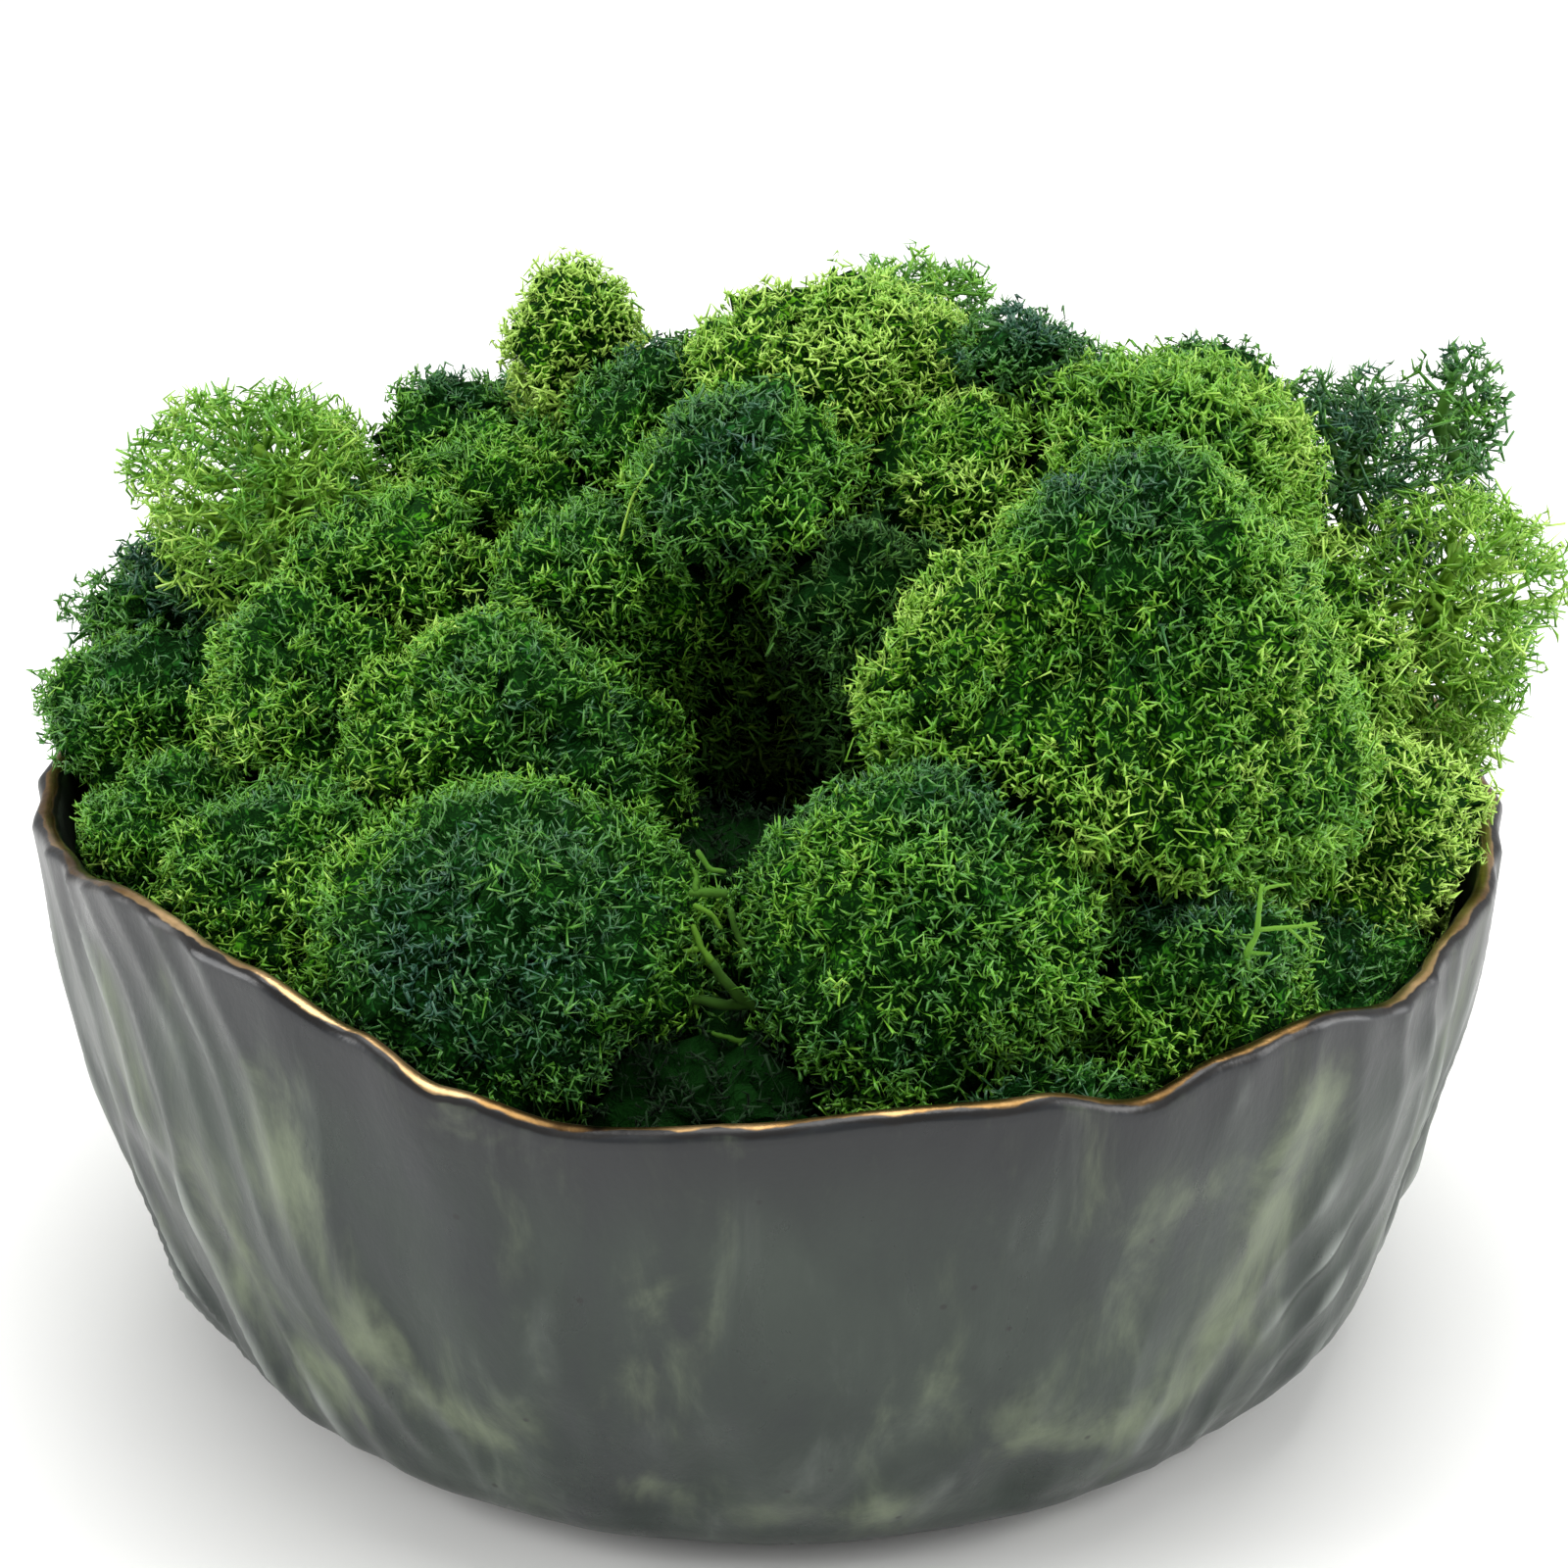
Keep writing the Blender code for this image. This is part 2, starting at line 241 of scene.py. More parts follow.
def wallRelief(azimuth, share, settings):
    # The broad ripples and dents of the whole wall: sin(17a) and sin(5a) cos(3a), each wandering with height,
    # sharp fine ripples that run down the wall and turn towards the front as they go, and lie flat there, and
    # slanting folds low on the wall, a sum of sines of the azimuth and the height
    fade = np.clip(share * 6, 0, 1) * (1 - 0.45 * share)
    ripple = np.sin(17 * azimuth + 2.2 * np.sin(3 * azimuth) + 3 * share)
    dent = np.sin(5 * azimuth + 6 * share) * np.cos(3 * azimuth - 5 * share)
    broad = fade * (0.55 * ripple + 0.75 * dent)
    frontness = smoothStep(0.62, 0.95, -np.sin(azimuth))
    wander = 1.2 * np.sin(7 * azimuth + 5 * share) + 0.8 * np.sin(3 * azimuth - 9 * share)
    turned = azimuth + settings["twist"] * (1 - share) * np.cos(azimuth)
    fine = 1.2 - 2 * np.abs(np.sin(settings["ripplesRound"] / 2 * turned + wander))
    fine = fine + 0.6 * np.sin(31 * turned - 2 * wander)
    strength = (0.45 + 0.55 * np.sin(9 * azimuth + 4 * share) ** 2) * (1 - 0.85 * frontness)
    waves = settings["foldWaves"]
    folds = sum(np.sin(turns * azimuth + climb * share + shift) for turns, climb, shift in waves)
    folds = folds / math.sqrt(len(waves))
    lower = settings["fold"] * (0.4 + 0.6 * frontness) * np.exp(-((share - 0.26) / 0.26) ** 2)
    return broad, fade * (settings["ripple"] * strength * fine + lower * (folds - 0.6 * np.abs(folds)))


def makeBowl(settings, material):
    # A profile carried round the axis: up the outer wall, over a half-round lip and down inside to the floor
    azimuth = np.arange(settings["around"]) * fullTurn / settings["around"]
    height = rimHeight(azimuth, settings)
    radii, shares = np.array(settings["outerProfile"]).T
    footShare, lipShare, wallAtTop = settings["footShare"], settings["lipShare"], settings["wallAtRim"]
    share = np.concatenate([
        np.linspace(0, footShare, settings["footRows"], endpoint=False),
        np.linspace(footShare, lipShare, settings["wallRows"]),
    ])[:, None]
    broad, fine = wallRelief(azimuth, share, settings)
    outer = roundProfile(share, shares, radii) + broad + fine
    topBroad, topFine = wallRelief(azimuth, np.array([[1.0]]), settings)
    bend = np.linspace(0, math.pi, settings["lipRows"] + 2)[1:-1, None]
    middle = settings["rimRadius"] - wallAtTop / 2
    lip = middle + wallAtTop / 2 * np.cos(bend) + topBroad + topFine * (1 + np.cos(bend)) / 2
    lipLevel = lipShare * height + settings["lipRise"] * np.sin(bend)
    down = np.linspace(lipShare, settings["innerFoot"], settings["innerRows"])[:, None]
    wall = settings["wallAtFoot"] + (wallAtTop - settings["wallAtFoot"]) * down
    inner = roundProfile(down, shares, radii) - wall + 0.5 * wallRelief(azimuth, down, settings)[0]
    toMiddle = np.linspace(1, 0, settings["floorRows"] + 1)[:-1, None] * np.ones_like(azimuth)
    floorLevel = settings["floorHeight"] + settings["floorRise"] * toMiddle ** 4
    rowRadius = np.vstack([outer, lip, inner, settings["floorEdge"] * toMiddle])
    rowLevel = np.vstack([share * height, lipLevel, down * height, floorLevel])
    rows, around = rowRadius.shape
    grid = np.stack([rowRadius * np.cos(azimuth), rowRadius * np.sin(azimuth), rowLevel], axis=-1)
    points = np.vstack([grid.reshape(-1, 3), [[0, 0, 0], [0, 0, settings["floorHeight"]]]])
    piece = addMesh("stoneware_bowl", points, bowlFaces(rows, around), material)
    steps = np.linalg.norm(np.diff(grid, axis=0), axis=-1)
    along = np.vstack([np.zeros(around), np.cumsum(steps, axis=0)])
    fromLip = along - along[len(share) + settings["lipRows"] // 2]  # mm on the profile, below 0 outside
    level = np.vstack([share * np.ones(around), np.ones_like(lip), down * np.ones(around), 0 * toMiddle])
    patch = glazePatches(azimuth, level, settings["patches"])
    crests = np.vstack([np.clip(fine / settings["ripple"] / 2, 0, 1), np.zeros((rows - len(fine), around))])
    for name, values in (("fromLip", fromLip), ("paleness", patch), ("level", level), ("crest", crests)):
        addNumbers(piece, name, np.append(values.ravel(), [0, 0]))
    return piece


def roundProfile(share, shares, radii):
    # The profile's radius at a share of the height: cubic curves through its points, at their mean slopes
    slope = np.gradient(radii, shares)
    step = np.clip(np.searchsorted(shares, share, side="right") - 1, 0, len(shares) - 2)
    width = shares[step + 1] - shares[step]
    t = (share - shares[step]) / width
    start, end = radii[step], radii[step + 1]
    leave, arrive = slope[step] * width, slope[step + 1] * width
    return (
        (2 * t ** 3 - 3 * t ** 2 + 1) * start + (t ** 3 - 2 * t ** 2 + t) * leave
        + (3 * t ** 2 - 2 * t ** 3) * end + (t ** 3 - t ** 2) * arrive
    )


def bowlFaces(rows, around):
    # Four-cornered faces between the rows, and a fan of them at each end, each across two gaps of its row
    row, side = np.meshgrid(np.arange(rows - 1), np.arange(around), indexing="ij")
    after = (side + 1) % around
    first, second = row * around, (row + 1) * around
    walls = np.stack([first + side, first + after, second + after, second + side], axis=-1).reshape(-1, 4)
    two = np.arange(0, around, 2)
    under, over = rows * around, rows * around + 1
    last = (rows - 1) * around
    bottom = np.stack([np.full(len(two), under), (two + 2) % around, two + 1, two], axis=-1)
    top = np.stack([np.full(len(two), over), last + two, last + two + 1, last + (two + 2) % around], axis=-1)
    return np.vstack([walls, bottom, top])


def glazePatches(azimuth, share, patches):
    # Soft ovals, exp(-(x² + y²)), at the listed places round the bowl
    total = np.zeros_like(share)
    for middle, level, halfWidth, halfHeight, strength in patches:
        aside = (np.degrees(azimuth) - middle + 180) % 360 - 180
        total += strength * np.exp(-(aside / halfWidth) ** 2 - ((share - level) / halfHeight) ** 2)
    return np.clip(total, 0, 1)


glaze = {
    "noises": {  # upright stretch, waves in each metre, detail, roughness, distortion
        "mottle": (0.55, 1000 / 9, 6, 0.62, 0.6),  # 9 mm across
        "cloud": (0.55, 38, 4, 0.55, 0.9),
        "brush": (0.22, 130, 5, 0.6, 0.5),  # strokes up and down the wall
        "wander": (1, 160, 3, 0.5, 0),
        # slow noise along the lip for the gold's dark breaks and its painted highlights
        "flecks": (1, 50, 6, 0.6, 0),
        "pits": (0.55, 420, 4, 0.6, 0),
    },
    "sums": (  # name, the noise in it, what it is multiplied by, what that is added to
        ("rubbed", "brush", 0.8, "crest"),
        ("blotched", "mottle", 2.2, "paleness"),
        ("broken", "brush", 1.2, "blotched"),
        ("lipPlace", "wander", 2.4, "fromLip"),  # which moves the gold's edges by tenths of a mm
        ("height", "pits", 0.5, "mottle"),
    ),
    "brushed": 0.45,  # how far the brush shows in the clouds
    "base": [(0.36, "#1b2223"), (0.5, "#202b25"), (0.64, "#2c372f")],  # slate, green grey and dust grey
    "layers": (  # what places each, how, where it starts and is full, how far it covers, colour
        ("level", "SMOOTHSTEP", 0.74, 1.0, 0.9, "#13151a"),  # slate towards the rim
        ("level", "SMOOTHSTEP", 0.12, 0.0, 0.8, "#1e221e"),  # the foot
        ("rubbed", "SMOOTHSTEP", 0.45, 1.15, 0.75, "#8c928d"),  # ash grey where it breaks over the crests
        ("broken", "SMOOTHSTEP", 1.75, 2.95, 0.7, "#7a8568"),  # pale olive in thin, mottled patches
        ("specks", "LINEAR", 0.075, 0.04, 0.7, "#0c0a09"),
    ),
    "specks": 170,  # specks and pinholes in each metre, which makes them about 0.5 mm across
    "darkEdge": "#0c0a09",
    # gold lustre from dark brown, which is partly real breaks and partly painted shade, to pale cream, which
    # is painted highlight
    "gold": [(0.36, "#22160c"), (0.5, "#86683f"), (0.68, "#cfae80")],
    "goldSpan": (0.75, 2.0),  # mm of lipPlace, which runs from the outside to the inside of the lip
    "edgeWidth": 0.8,  # mm of the dark line that runs along both sides of the gold
    "edgeBlur": 0.12,  # mm to each side
    "roughness": (0.24, 0.44),
    "pitDepth": 0.0006,  # m, for the bump
}


def glazeMaterial(settings):
    # Stoneware under a reactive iron glaze, which breaks from slate to pale olive where it runs thin, with
    # a satin gloss; the lip is painted with gold lustre, which fires to a soft dark-edged mirror
    material, tree, shader = newMaterial("reactive glazed stoneware", {"IOR": 1.48})
    place = addNode(tree, "TexCoord", "Object", {})
    drive = {}
    for name in ("level", "crest", "paleness", "fromLip"):
        drive[name] = addNode(tree, "Attribute", "Fac", {"attribute_name": name})
    for name, (stretch, scale, detail, roughness, distortion) in settings["noises"].items():
        drive[name] = addNode(tree, "TexNoise", "Fac", {
            "Scale": scale, "Detail": detail, "Roughness": roughness, "Distortion": distortion,
            "Vector": addNode(tree, "Mapping", 0, {"Scale": (1, 1, stretch), "Vector": place}),
        })
    for name, noise, times, more in settings["sums"]:
        drive[name] = addNode(tree, "Math", 0, {
            "operation": "MULTIPLY_ADD", 0: drive[noise], 1: times, 2: drive[more],
        })
    drive["specks"] = addNode(tree, "TexVoronoi", "Distance", {"Scale": settings["specks"], "Vector": place})
    brushed = addNode(tree, "Mix", 0, {0: settings["brushed"], 2: drive["cloud"], 3: drive["brush"]})
    colour = addNode(tree, "ValToRGB", 0, {"stops": settings["base"], 0: brushed})
    for name, kind, start, full, most, code in settings["layers"]:
        share = addNode(tree, "MapRange", 0, {
            "interpolation_type": kind, "Value": drive[name],
            "From Min": start, "From Max": full, "To Max": most,
        })
        colour = addNode(tree, "Mix", 2, {"data_type": "RGBA", 0: share, 6: colour, 7: code})
    # the dark line that the gold bleeds on both sides, and the gold over it
    # painted highlight and shade: the gold goes lighter and darker along the lip by a slow noise
    gold = addNode(tree, "ValToRGB", 0, {"stops": settings["gold"], 0: drive["flecks"]})
    blur = settings["edgeBlur"]
    for wider, paint in ((settings["edgeWidth"], settings["darkEdge"]), (0, gold)):
        lower, upper = np.array(settings["goldSpan"]) + (-wider, wider)
        band = 1.0
        for start, full in ((lower - blur, lower + blur), (upper + blur, upper - blur)):
            side = {"Value": drive["lipPlace"], "From Min": start, "From Max": full}
            band = addNode(tree, "Math", 0, {
                "operation": "MULTIPLY", 0: addNode(tree, "MapRange", 0, side), 1: band,
            })
        colour = addNode(tree, "Mix", 2, {"data_type": "RGBA", 0: band, 6: colour, 7: paint})
    smooth, dull = settings["roughness"]
    feed(tree, shader.inputs["Base Color"], colour)
    feed(tree, shader.inputs["Metallic"], band)
    feed(tree, shader.inputs["Roughness"], addNode(tree, "MapRange", 0, {
        "Value": drive["mottle"], "From Min": 0.3, "From Max": 0.7, "To Min": smooth, "To Max": dull,
    }))
    # brushed and pitted skin of the glaze, a few hundredths of a mm deep
    feed(tree, shader.inputs["Normal"], addNode(tree, "Bump", 0, {
        "Strength": 0.25, "Distance": settings["pitDepth"], "Height": drive["height"],
    }))
    return material


bowlPiece = makeBowl(bowl, glazeMaterial(glaze))
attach(bowlPiece, "root")
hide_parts("bowl")
print("bowl made:", len(bowlPiece.data.polygons), "faces")


# Moss: each tuft of the frame becomes a tree of forked branchlets whose tips lie on the tuft's skin

moss = {
    "forkArea": 2.85,  # mm² of skin for each of the last forks
    "forkSunk": (-0.5, 1.3),  # mm from the skin to the last forks
    "dipShare": 0.6,  # dips of the mat between the forks, for each fork
    "dipSunk": (1.6, 3.2),
    "hiddenArea": 30.0,  # mm² for each point of the mat where nothing sees it
    "hiddenDepth": 12.0,  # mm, for the colour there, which is drawn dark as painted shade
    "hiddenTone": 0.2,
    "skirtSunk": 0.3,  # mm deeper that the forks lie low on a tuft, where its stalks show
    "valleyFill": 3.0,  # mm that the moss stands proud where two tufts part
    "valleySky": (0.45, 0.1),  # shares of the sky where that starts and is full
    "fullSize": 11,  # mm from a tuft's heart to its skin; a smaller tuft's relief and tips are smaller
    "lobeSize": 9.0,  # mm across the small lobes of a dome
    "creaseDepth": 2.6,  # mm that the creases between lobes sink
    "swellSize": 14,  # mm across its slow swellings
    "swell": 0.9,  # mm that they rise and fall
    "knobSize": 5.0,  # mm across its smallest lumps
    "knobs": 0.7,  # mm that they rise and fall
    "paintedShade": 0.0,  # painted shade: mm deeper that the whole tuft's colour is drawn, darkest in the hollow and the gap between tufts
    "shade": 10.0,  # painted shade: mm deeper that the moss's colour is drawn where it sees little of the sky
    "shadeSky": (0.38, 0.08),  # shares of the sky where that starts and is full
    "coarse": 0.6,  # how much longer and thicker the tips are low on a tuft
    "tipsAtFork": (3, 5),
    "forkedShare": 0.6,  # of these tips
    "tipSpread": 0.8,  # how far in along its branch a side tip may start, as a share
    "tipLength": (0.9, 2.2),
    "tipRise": (-0.2, 0.9),  # how far a tip points outwards for each mm that it runs sideways
    "tipLift": 0.35,  # how far it points upwards
    "curl": 0.3,  # how far the middle of a tip hangs below its ends, as a share of its length
    "sway": 0.28,  # how far its middle strays to any side
    "proud": 1.9,  # mm that a tip may stand past the skin
    "tipsAtDip": 3,
    "forkSize": (2.4, 2.3, 2.2, 2.2, 2.2),  # branches that meet at a fork, from the last forks inwards
    "forkDepth": (1.1, 1.6, 2.4, 3.6, 5.5),  # mm from each fork to the next one in
    "branchRadius": (0.165, 0.22, 0.29, 0.37, 0.47, 0.62, 0.8),  # mm at the tips, then at each fork inwards
    "stray": 0.35,  # how far a fork strays, as a share of its branch
    "stemRadius": 1.2,
    "stemDepth": 10.8,  # mm below the skin that the stem's colour is of, drawn darker as painted shade
    "matSunk": 0.8,  # mm from a fork down to the mat
    "matSkirt": 3.5,  # mm deeper that the mat lies low on a tuft
    "matOpen": 7.0,  # mm deeper that it lies in the loosest tuft
    "fade": 9.0,  # mm below the skin where the branches are a third as green as the tips; this darkening with depth is partly painted shade
    "tone": 0.55,  # 0 is dark blue green, 1 is bright yellow green
    "tonePatches": ((22, 0.1), (7, 0.08)),  # mm across the slow patches, and how much their tone differs
    "toneStray": 0.07,  # how much each fork's and each tip's own tone differs
    "cap": 0.25,  # how much darker the top is
    "capToward": (0, -0.25, 1),
    "capWidth": 0.5,
    "open": 0.0,  # 1 is a loose tuft that shows what is behind it
    "bareOpen": 0.55,  # a looser tuft than this has no mat
    "grownLow": 0.25,  # a dense tuft has whole branches only lower down than this; 1 is its lowest part
}
tuftLooks = {  # tone, cap, open and what else differs
    "front_left": (0.54, 0.3, 0, {"capToward": (0.05, -0.75, 0.65), "capWidth": 0.6}),
    "front_centre": (0.52, 0.25, 0, {
        "capToward": (0.15, 0.2, 0.95), "capWidth": 0.45, "creaseDepth": 1.4, "swell": 0.3,
    }),
    # painted shade: front_gap is drawn dark, as moss deep in the gap between the tufts
    "front_gap": (0.2, 0.25, 0, {"forkArea": 5.0, "paintedShade": 28.0}),
    "right_big": (0.7, 0.55, 0, {"capToward": (-0.14, -0.45, 1), "capWidth": 0.34}),
    "centre_dark": (0.52, 0.4, 0, {"capToward": (-0.3, -0.5, 0.8), "capWidth": 0.6}),
    # painted shade: centre_drop is drawn darker, at the edge of the hollow
    "centre_drop": (0.4, 0.25, 0, {"paintedShade": 8.0}),
    "mid_left": (0.7, 0.3, 0, {"capToward": (0.5, -0.5, 0.7)}),
    # painted shade: hollow is drawn near black, as moss deep in the hollow between the tufts
    "hollow": (0.2, 0.25, 0, {"forkArea": 5.0, "paintedShade": 28.0}),
    "back_left_tall": (1.05, 0, 0, {"shade": 0.0}),
    "right_low": (1.05, 0, 0, {"shade": 0.0}),
    "centre_left": (0.65, 0.15, 0, {}),
    "centre_crown": (0.97, 0, 0, {}),
    "centre_right": (0.8, 0, 0, {}),
    "left_inner": (0.72, 0.15, 0, {}),
    "left_slope": (0.72, 0.15, 0, {}),
    "left_saddle": (0.7, 0.15, 0, {}),
    "left_front": (0.7, 0.2, 0, {}),
    "far_left_low": (0.7, 0.2, 0, {}),
    "back_dark": (0.25, 0.2, 0.2, {}),
    "right_crown": (0.72, 0.05, 0.2, {}),
    "right_inner": (0.85, 0, 0.2, {}),
    "left_dark": (0.35, 0.3, 0.2, {}),
    "left_crown": (0.74, 0.1, 0.6, {}),
    "right_horn": (0.3, 0.2, 0.6, {}),
    "far_back": (0.6, 0, 0.7, {}),
    "right_back": (0.28, 0.1, 0.7, {}),
    "right_fan": (0.8, 0, 0.8, {}),
}
rearForkArea = 5.2  # for the tufts behind the heap, which the front never shows
looseSeed = 100  # apart from the tufts' seeds, which count from 0
spotsForEachMm = 1.5  # points tried on each mm² of skin
sky = {
    "directions": 90,  # over half of the sphere
    "rays": 14,  # tried from each spot
    "rounds": 6,  # the later ones only tell whether a spot sees any sky at all
    "glimpse": 0.3,  # of a ray, for a spot that only they show
    "reach": 400,  # mm
    "roomReach": 10,  # mm that the room in front of a spot is told up to
    "pressed": 1.0,  # mm of room below which a spot sees nothing
}


def readNode(name):
    # A frame node's points in mm and its triangles
    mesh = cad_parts[name].data
    mesh.calc_loop_triangles()
    points = np.empty(len(mesh.vertices) * 3, np.float32)
    mesh.vertices.foreach_get("co", points)
    triangles = np.empty(len(mesh.loop_triangles) * 3, np.int32)
    mesh.loop_triangles.foreach_get("vertices", triangles)
    return points.reshape(-1, 3).astype(float) / mm, triangles.reshape(-1, 3)


def wholeHeap():
    # A search tree of every node's triangles
    points, triangles = joinParts([readNode(name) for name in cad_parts])
    return BVHTree.FromPolygons(points.tolist(), triangles.tolist())


def skyDirections(count):
    # Even directions over the sphere, on a golden spiral, down to 20 degrees below level
    turn = np.arange(count * 2) + 0.5
    level = 1 - turn / count
    around = turn * math.pi * (3 - math.sqrt(5))
    flat = np.sqrt(1 - level ** 2)
    directions = np.stack([flat * np.cos(around), flat * np.sin(around), level], axis=1)
    return directions[level > -0.35]


def openSky(spots, normals, heap, directions, draw):
    # The share of the sky that each spot sees, by a few random rays on the side that its skin faces, and the
    # room in mm in front of it. A spot that presses on a neighbour sees none
    share, room = np.zeros(len(spots)), np.full(len(spots), float(sky["roomReach"]))
    rays = [Vector(direction) for direction in directions]
    picks = draw.integers(len(rays), size=(len(spots), sky["rays"] * sky["rounds"]))
    facing = np.einsum("ijk,ik->ij", directions[picks], normals) > 0.05
    for index, (spot, normal) in enumerate(zip(spots, normals)):
        outward = Vector(normal)
        start = Vector(spot) + outward * 0.1
        distance = heap.ray_cast(start, outward, sky["roomReach"])[3]
        if distance is not None:
            room[index] = distance
        if room[index] > sky["pressed"]:
            start += outward * 0.4
            tried = picks[index][facing[index]]
            seen = (heap.ray_cast(start, rays[ray], sky["reach"])[0] is None for ray in tried)
            free = sum(islice(seen, sky["rays"])) or sky["glimpse"] * any(seen)
            share[index] = free / sky["rays"]
    return share, room


def scatterOnSkin(points, triangles, draw):
    # Random points spread evenly over the triangles' area, which comes back as well
    a, b, c = points[triangles].transpose(1, 0, 2)
    across = np.cross(b - a, c - a)
    area = np.linalg.norm(across, axis=1) / 2
    chosen = draw.choice(len(area), int(area.sum() * spotsForEachMm), p=area / area.sum())
    s, t = draw.random((2, len(chosen), 1))
    s, t = np.where(s + t > 1, 1 - s, s), np.where(s + t > 1, 1 - t, t)
    spots = a[chosen] + s * (b - a)[chosen] + t * (c - a)[chosen]
    return spots, unit(across)[chosen], area.sum()


def gatherPoints(points, count, draw, rounds=3):
    # Even groups: each round moves a group's middle to the mean of the points nearest to it
    count = max(1, min(count, len(points)))
    middles = points[draw.choice(len(points), count, replace=False)].astype(np.float32)
    flat = points.astype(np.float32)
    for _ in range(rounds):
        near = (middles ** 2).sum(1) - 2 * flat @ middles.T
        owner = near.argmin(axis=1)
        size = np.bincount(owner, minlength=count)
        total = np.stack([np.bincount(owner, flat[:, axis], count) for axis in range(3)], axis=1)
        mean = total / np.maximum(size, 1)[:, None]
        middles = np.where(size[:, None] > 0, mean, middles).astype(np.float32)
    used, owner = np.unique(owner, return_inverse=True)
    return middles[used].astype(float), owner


def meanByOwner(values, owner, count):
    # For each owner, the mean of the rows that are its own
    size = np.maximum(np.bincount(owner, minlength=count), 1)[:, None]
    return np.stack([np.bincount(owner, values[:, axis], count) for axis in range(3)], axis=1) / size


def slowWaves(places, size, draw, count=4):
    # A smooth field, mostly between -1 and 1: the sum of sines in random directions, with waves about size mm
    # long, over the root of their number
    waves = unit(draw.normal(size=(count, 3))) * fullTurn / size * draw.uniform(0.7, 1.4, (count, 1))
    return np.sin(places @ waves.T + draw.uniform(0, fullTurn, count)).sum(axis=1) / math.sqrt(count)


def lastForks(points, triangles, heart, root, look, heap, directions, draw):
    # The last forks and the dips between them, under the skin that sees the sky: sunk where a crease runs
    # between lobes and low on the tuft, and raised where it parts from its neighbours. Depths are in mm
    spots, normals, area = scatterOnSkin(points, triangles, draw)
    clear, room = openSky(spots, normals, heap, directions, draw)
    skirt = smoothStep(-0.2, -0.85, unit(spots - heart) @ unit(heart - root))
    weight = np.where(clear > 0, 0.7 + 0.3 * smoothStep(0.0, 0.3, clear), 0) * (1 - 0.35 * skirt)
    count = area * weight.mean() / (look["forkArea"] * (1 + 0.4 * look["open"]))
    kept = np.flatnonzero(draw.random(len(spots)) < weight)
    unseen = clear == 0
    hidden = gatherPoints(spots[unseen], int(area * unseen.mean() / look["hiddenArea"]) + 6, draw)[0]
    spots, normals = spots[kept], normals[kept]
    known = np.stack([clear, room, skirt], axis=1)[kept]
    outward = unit(0.6 * normals + 0.4 * unit(spots - heart))
    scale = min(1.0, np.linalg.norm(spots - heart, axis=1).mean() / look["fullSize"])
    layers = []
    for share, depth in ((1.0, look["forkSunk"]), (look["dipShare"], look["dipSunk"])):
        places, owner = gatherPoints(spots, int(count * share), draw)
        facing = unit(meanByOwner(outward, owner, len(places)))
        seen, free, low = meanByOwner(known, owner, len(places)).T
        least, most = np.array(depth) * scale * (1 + look["open"])
        fill = np.minimum(look["valleyFill"] * smoothStep(*look["valleySky"], seen), 0.6 * free)
        deeper = look["skirtSunk"] * scale * low * (1 - smoothStep(0.25, 0.05, seen))
        # painted shade: the colour is drawn deeper over the whole tuft, and more where a spot sees little of
        # the sky
        paintedShade = look["paintedShade"] + look["shade"] * smoothStep(*look["shadeSky"], seen)
        layers.append((places, facing, draw.uniform(least, most, len(places)) + deeper - fill, paintedShade, low))
    places, facing, sunk, paintedShade, low = (np.concatenate(part) for part in zip(*layers))
    crease = (1 - np.abs(slowWaves(places, look["lobeSize"] * 2, draw))).clip(0, 1) ** 4
    relief = look["creaseDepth"] * (crease - 0.35)
    relief = relief + look["swell"] * slowWaves(places, look["swellSize"], draw)
    sunk = sunk + scale * (relief + look["knobs"] * slowWaves(places, look["knobSize"], draw, 6))
    size = scale * (1 + 0.5 * look["open"])
    return places - facing * sunk[:, None], facing, sunk + paintedShade, low, len(layers[0][0]), hidden, size


def sproutTips(forks, innerForks, facing, sunk, tone, size, look, draw):
    # A few tips on each last branch, one at its end and the rest along it, spread round it. They run
    # sideways and curl outwards and up. The size is one number for each fork
    least, most = look["tipsAtFork"]
    number = draw.integers(least, most + 1, len(forks))
    owner = np.repeat(np.arange(len(forks)), number)
    order = np.arange(len(owner)) - np.repeat(np.cumsum(number) - number, number)
    turn = draw.uniform(0, fullTurn, len(forks))[owner] + fullTurn * order / number[owner]
    turn = turn + draw.normal(size=len(owner)) * 0.4
    side, front = acrossPair(facing)
    facing = facing[owner]
    aside = np.cos(turn)[:, None] * side[owner] + np.sin(turn)[:, None] * front[owner]
    rise = draw.uniform(*look["tipRise"], len(owner))
    up = np.array([0, 0, look["tipLift"]]) - look["tipLift"] * facing[:, 2:] * facing
    heading = unit(aside + rise[:, None] * facing + up)
    back = np.where(order > 0, draw.uniform(0, look["tipSpread"], len(owner)), 0)
    starts = forks[owner] + (innerForks - forks)[owner] * back[:, None]
    below = sunk[owner] + ((forks[owner] - starts) * facing).sum(axis=1)
    shortest, longest = look["tipLength"]
    length = (shortest + (longest - shortest) * draw.random(len(owner)) ** 1.5) * size[owner]
    depth = below - (heading * facing).sum(axis=1) * length
    over = np.minimum(depth + look["proud"], 0)  # mm too far past the skin
    tips = starts + heading * length[:, None] + facing * over[:, None]
    sag = look["curl"] * draw.uniform(0.2, 1.2, (len(owner), 1))
    bend = draw.normal(size=tips.shape) * look["sway"] - facing * sag
    own = tone[owner] + draw.normal(size=len(owner)) * look["toneStray"]
    return starts, tips, bend * length[:, None], below, np.maximum(depth, 0), own, size[owner]


